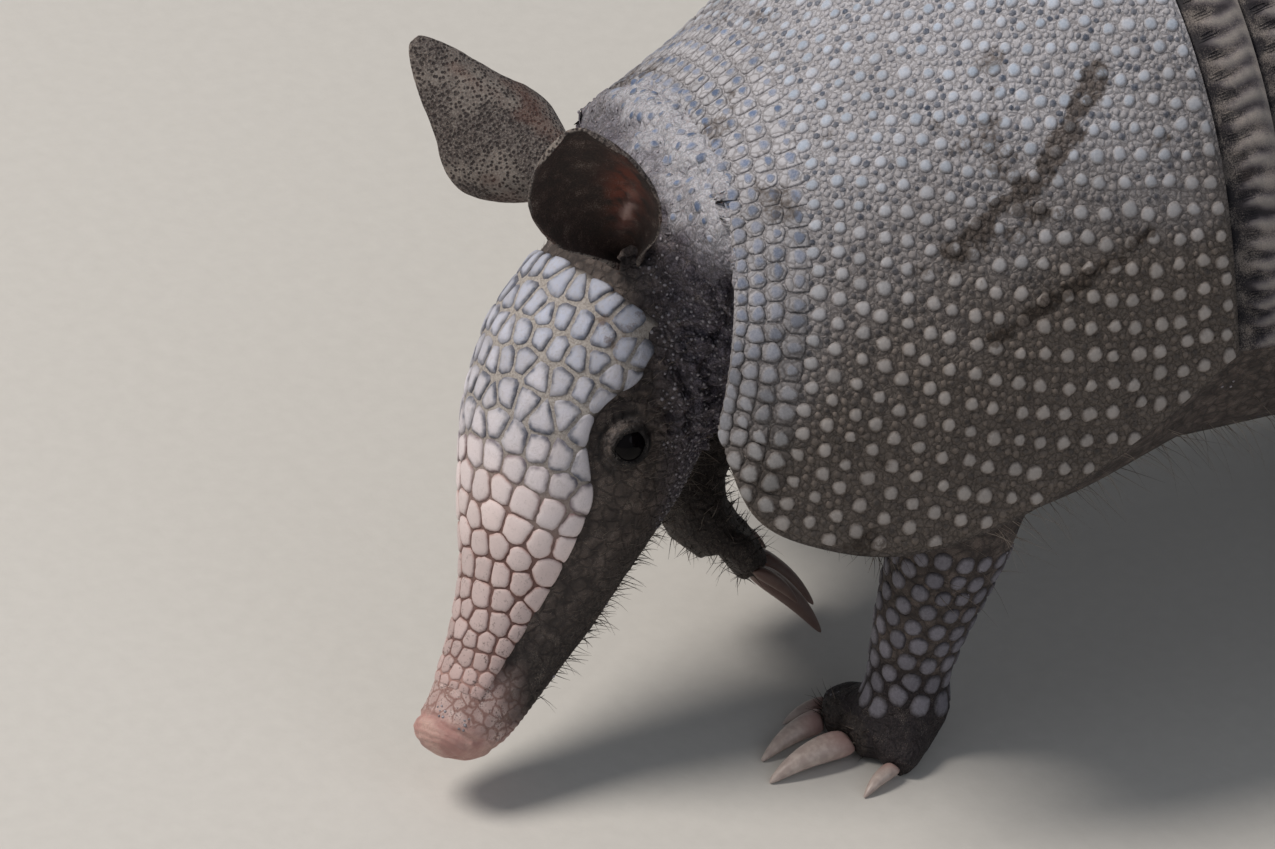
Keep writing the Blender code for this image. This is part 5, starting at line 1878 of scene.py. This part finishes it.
legSettings = {
    "along": 4.1 * mm,         # from one row of scutes to the next
    "around": 4.7 * mm,
    "reach": 26 * mm,          # no part of a leg is thicker than this
    "radius": 2.3 * mm,
    "height": 0.5 * mm,
    "longer": 0.14,            # share by which a scute is longer than wide
    "corners": 12,
    "crispness": 8,
    "slant": 0.0,
}
tailSettings = {
    "along": 4.2 * mm,
    "around": 3.7 * mm,
    "reach": 30 * mm,
    "radius": 2.2 * mm,
    "height": 0.4 * mm,
    "longer": 0.1,
    "corners": 10,
    "crispness": 10,
    "slant": 0.25,
}
seamOnSkin = 0.3 * mm


def layOnLimb(name, settings, points, along, size):
    seeds = seedsOnSkin(points, along, settings["height"], chance.uniform(-1, 1, len(points)))
    caps = size[:, None] * (1 + settings["longer"] * np.cos(anglesOf(settings["corners"])) ** 2)[None, :]
    outlines = cellOutlines(seeds, size, caps, seamOnSkin, settings["crispness"])
    finishTiles(layTiles(name, seeds, outlines, roundTile, skinSurface, legHornAndShade, settings["slant"]))


def dressLeg(name, nodes, upTo, downTo=0.0):
    # scutes from the height upTo down to the height downTo, larger towards the foot
    settings = legSettings
    line = centreLine(nodes, 2, 5 * mm)[::-1]
    points, along, share = aroundLimb(line, settings["along"], settings["around"], settings["reach"],
                                      lambda point: downTo < point[2] < upTo)
    points = points + chance.normal(0, 0.25 * mm, points.shape)
    size = settings["radius"] * (0.85 + 0.45 * smooth(0.55, 1.0, share))
    size = size * chance.uniform(0.9, 1.1, len(points))
    layOnLimb(name, settings, points, along, size)


dressLeg("foreLegLeftScutes", ["foreleg_left", "forefoot_left"], 78 * mm, 11 * mm)
dressLeg("foreLegRightScutes", ["foreleg_right"], 80 * mm)
dressLeg("hindLegLeftScutes", ["hindleg_left", "hindfoot_left"], 80 * mm, 12 * mm)
dressLeg("hindLegRightScutes", ["hindleg_right", "hindfoot_right"], 80 * mm, 12 * mm)
print("legs dressed")


def dressTail():
    # rings of scutes that get smaller towards the tip
    settings = tailSettings
    line = centreLine(tailNodes, 1, 9 * mm)
    points, along, share = aroundLimb(line, settings["along"], settings["around"], settings["reach"],
                                      lambda point: point[1] > bodyPlaces["tailFront"])
    layOnLimb("tailScutes", settings, points, along, settings["radius"] * (1 - 0.45 * share))


dressTail()
print("tail dressed")


def scattered(points, chosen, count, spacing):
    # indices of about count chosen points, none closer than spacing
    order = chance.permutation(np.nonzero(chosen)[0])
    kept = []
    cells = {}
    for index in order:
        cell = tuple((points[index] / spacing).astype(int))
        around = itertools.product(*[(c - 1, c, c + 1) for c in cell])
        near = [other for place in around for other in cells.get(place, ())]
        if not near or lengthOf(points[near] - points[index]).min() >= spacing:
            kept.append(index)
            cells.setdefault(cell, []).append(index)
        if len(kept) >= count:
            break
    return np.array(kept)


def attributeValues(piece, name):
    flat = np.zeros(len(piece.data.vertices), np.float32)
    piece.data.attributes[name].data.foreach_get("value", flat)
    return flat.astype(float)


neckSettings = {
    "granules": 5200,          # tiny grains all over the neck
    "granuleSpacing": 0.85 * mm,
    "granuleHeight": 0.22 * mm,
    "scutes": 110,             # loose scutes on the nape, close to the shell
    "scuteSpacing": 2.9 * mm,
    "scuteHeight": 0.3 * mm,
    "towardsShell": (0.0, 1.0, 0.1),
}

skinPoints = pointsOf(skin)
neckArea = attributeValues(skin, "neck") + 0.6 * noiseAt(skinPoints, 9 * mm, 3, 1.5) > 0.4
napeArea = attributeValues(skin, "nape") > 0.6
earArea = attributeValues(skin, "ear") > 0.2


def seedsOnNeck(area, count, spacing, sizes, height):
    chosen = scattered(skinPoints, area, count, spacing)
    size = chance.uniform(*sizes, len(chosen)) * mm
    along = np.tile(neckSettings["towardsShell"], (len(chosen), 1))
    return seedsOnSkin(skinPoints[chosen], along, height, chance.uniform(-1, 1, len(chosen))), size


seeds, size = seedsOnNeck(neckArea & ~napeArea & ~earArea, neckSettings["granules"],
                          neckSettings["granuleSpacing"], (0.2, 0.46), neckSettings["granuleHeight"])
angles = anglesOf(7)
outlines = np.stack([np.cos(angles), np.sin(angles)], -1)[None] * size[:, None, None]
outlines = outlines * chance.uniform(0.8, 1.15, (len(size), len(angles), 1))
finishTiles(layTiles("neckGranules", seeds, outlines, smallTile, None, granuleHorn))
seeds, size = seedsOnNeck(napeArea, neckSettings["scutes"], neckSettings["scuteSpacing"], (0.75, 1.45),
                          neckSettings["scuteHeight"])
caps = size[:, None] * chance.uniform(0.85, 1.15, (len(size), 10))
outlines = cellOutlines(seeds, size, caps, 0.2 * mm, 9)
finishTiles(layTiles("napeScutes", seeds, outlines, roundTile, skinSurface, spotHorn), 0.1)
print("neck and nape dressed")


# Bristles

hairSettings = {
    "sides": 3,
    "segments": 3,
    # lengths and thicknesses in mm, tones from dark (0) to pale (1); stray is how far the hairs differ
    "jaw": {"count": 2200, "spacing": 0.6 * mm, "lean": -onward * 0.5, "stray": 0.35, "length": (1.6, 5.2),
            "thickness": (0.06, 0.15), "tone": (0, 0.75), "toneBend": 2, "droop": 0.15},
    "cheek": {"count": 3200, "spacing": 0.8 * mm, "lean": -onward * 1.6 - upward * 1.2, "stray": 0.3,
              "length": (0.9, 2.4), "thickness": (0.035, 0.06), "tone": (0, 0.75), "toneBend": 1,
              "droop": 0.1},
    "belly": {"count": 900, "spacing": 2.6 * mm, "lean": (0.0, 0.9, 0.0), "stray": 0.3, "length": (5, 11),
              "thickness": (0.06, 0.11), "tone": (0.3, 1), "toneBend": 1, "droop": 0.3},
}
hairMaterial, tree = newMaterial("bristle")
# stiff keratin hair, dark brown to straw coloured, with a soft shine
hairColour = mixed(tree, attributeOf(tree, "tone"), "#2B2320", "#A4978B")
finishSurface(tree, hairColour, 0.5, None, extra={"Specular IOR Level": 0.3})


def growHairs(name, area, settings):
    # one bristle for each chosen point of the skin: a thin bent cone
    chosen = scattered(skinPoints, area, settings["count"], settings["spacing"])
    count = len(chosen)
    roots, normals = skinPoints[chosen], skinNormals[chosen]
    lean = np.array(settings["lean"]) + chance.normal(0, settings["stray"], (count, 3))
    length = chance.uniform(*settings["length"], count) * mm
    thickness = chance.uniform(*settings["thickness"], count) * mm
    tone = chance.uniform(*settings["tone"], count) ** settings["toneBend"]
    sides, segments = hairSettings["sides"], hairSettings["segments"]
    direction = unit(normals + lean)
    side = unit(np.cross(direction, unit(chance.normal(0, 1, (count, 3)))))
    other = np.cross(direction, side)
    rings = []
    for level in range(segments + 1):
        t = level / segments
        middle = roots - direction * 0.25 * mm + direction * (length * t)[:, None]
        bend = side * 0.25 + np.array([0, 0, -1.0]) * settings["droop"]
        middle = middle + bend * (length * t * t)[:, None]
        width = (thickness * (1 - 0.85 * t))[:, None]
        ring = [middle + (side * math.cos(a) + other * math.sin(a)) * width for a in anglesOf(sides)]
        rings.append(np.stack(ring, axis=1))
    points = np.concatenate(rings, axis=1)
    perHair = (segments + 1) * sides
    k = np.arange(sides)
    following = (k + 1) % sides
    quads = np.stack([k, following, sides + following, sides + k], -1)
    quads = np.concatenate([quads + level * sides for level in range(segments)])
    ends = np.stack([k[::-1], segments * sides + k])
    base = (np.arange(count) * perHair)[:, None, None]
    polygons = [(base + quads[None]).reshape(-1, 4), (base + ends[None]).reshape(-1, 3)]
    piece = makeMesh(name, points.reshape(-1, 3), polygons, hairMaterial)
    setAttribute(piece, "tone", np.repeat(tone, perHair))
    place = unrolled(roots)[0] * 0.98 + 0.01
    sideAndLevel = np.stack([np.tile(k, segments + 1), np.repeat(np.arange(segments + 1), sides)], -1)
    local = place[:, None, :] + sideAndLevel * 0.0008  # each bristle gets a tiny patch of the bake map
    corner = np.concatenate([part.ravel() for part in polygons])
    addBakeMap(piece, np.clip(local.reshape(-1, 2)[corner], 0, 1))
    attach(piece, "root")


skinNormals = normalsOf(skin)
back, side, rise = inHead(skinPoints).T
underJaw = (attributeValues(skin, "jaw") > 0.6) & (back > 14 * mm) & (back < 98 * mm)
underJaw &= rise < -9 * mm - 0.1 * back
growHairs("jawBristles", underJaw, hairSettings["jaw"])
cheek = (back > 30 * mm) & (back < 100 * mm) & (abs(side) > 8 * mm)
cheek &= skinPoints[:, 1] < bodyPlaces["headRear"]
cheek &= (attributeValues(skin, "lid") < 0.2) & (attributeValues(skin, "ear") < 0.1) & (rise < 16 * mm)
growHairs("cheekBristles", cheek, hairSettings["cheek"])
belly = (skinPoints[:, 2] < 74 * mm) & (skinPoints[:, 2] > 38 * mm) & (skinNormals[:, 2] < -0.1)
belly &= (skinPoints[:, 1] > bodyPlaces["bellyFront"]) & (skinPoints[:, 1] < bodyPlaces["bellyRear"])
growHairs("bellyBristles", belly, hairSettings["belly"])
print("bristles grown")


# Building

dressShield("scapular", "scapular_shield", 4, mudSmears)
dressShield("pelvic", "pelvic_shield", 2)
for number in range(1, bandSettings["count"] + 1):
    dressBand(number)
print("bands dressed")


# Floor, light and camera

viewSettings = {
    "lens": 276.8,
    "distance": 1.85,
    "toCamera": (0.7849, -0.3660, 0.5),
    "aim": (0.0109, 0.0494, 0.0655),   # metres from the middle, the foremost point and the floor
    "sky": "#DDE3EA",
    "skyStrength": 0.34,
}
lightSettings = {
    # place, what it shines at, width in metres, power in watts, colour
    "window": ((-0.45, -1.25, 1.75), (0, -0.2, 0.08), 0.9, 34, "#FFF8F0"),
    "fill": ((1.6, 0.3, 1.2), (0, -0.2, 0.05), 1.2, 3, "#EEF3FF"),
}

floorMaterial, tree = newMaterial("pale floor")
# a matt painted board, faintly uneven
grain = noiseNode(tree, 4 * mm, 5)
floorColour = mixed(tree, grain, "#C9C6C1", "#D3D0CB")
finishSurface(tree, floorColour, 0.8, grain, 0.1 * mm)
bpy.ops.mesh.primitive_plane_add(size=6)
floor = bpy.context.object
floor.name = "floor"
floor.data.materials.append(floorMaterial)

world = bpy.data.worlds.new("studio")
bpy.context.scene.world = world
world.use_nodes = True
world.node_tree.nodes.clear()
skyLight = {"Color": linear(viewSettings["sky"]), "Strength": viewSettings["skyStrength"]}
sky = addNode(world.node_tree, "ShaderNodeBackground", skyLight)
addNode(world.node_tree, "ShaderNodeOutputWorld", {}, {"Surface": sky.outputs["Background"]})


def addLight(name, place, target, size, power, colour):
    light = bpy.data.lights.new(name, "AREA")
    light.shape = "DISK"
    light.size = size
    light.energy = power
    light.color = linear(colour)[:3]
    lamp = newPiece(name, light)
    lamp.location = place
    lamp.rotation_euler = (Vector(target) - Vector(place)).to_track_quat("-Z", "Y").to_euler()


for name, settings in lightSettings.items():
    addLight(name, *settings)

toCamera = Vector(viewSettings["toCamera"]).normalized()
aim = Vector(viewSettings["aim"]) + Vector((0, cadBox[0].y, 0))
camera = newPiece("camera", bpy.data.cameras.new("camera"))
camera.data.sensor_width = 36
camera.data.lens = viewSettings["lens"]
camera.location = aim + toCamera * viewSettings["distance"]
camera.rotation_euler = (-toCamera).to_track_quat("-Z", "Y").to_euler()
bpy.context.scene.camera = camera
bpy.context.scene.view_settings.view_transform = "Standard"
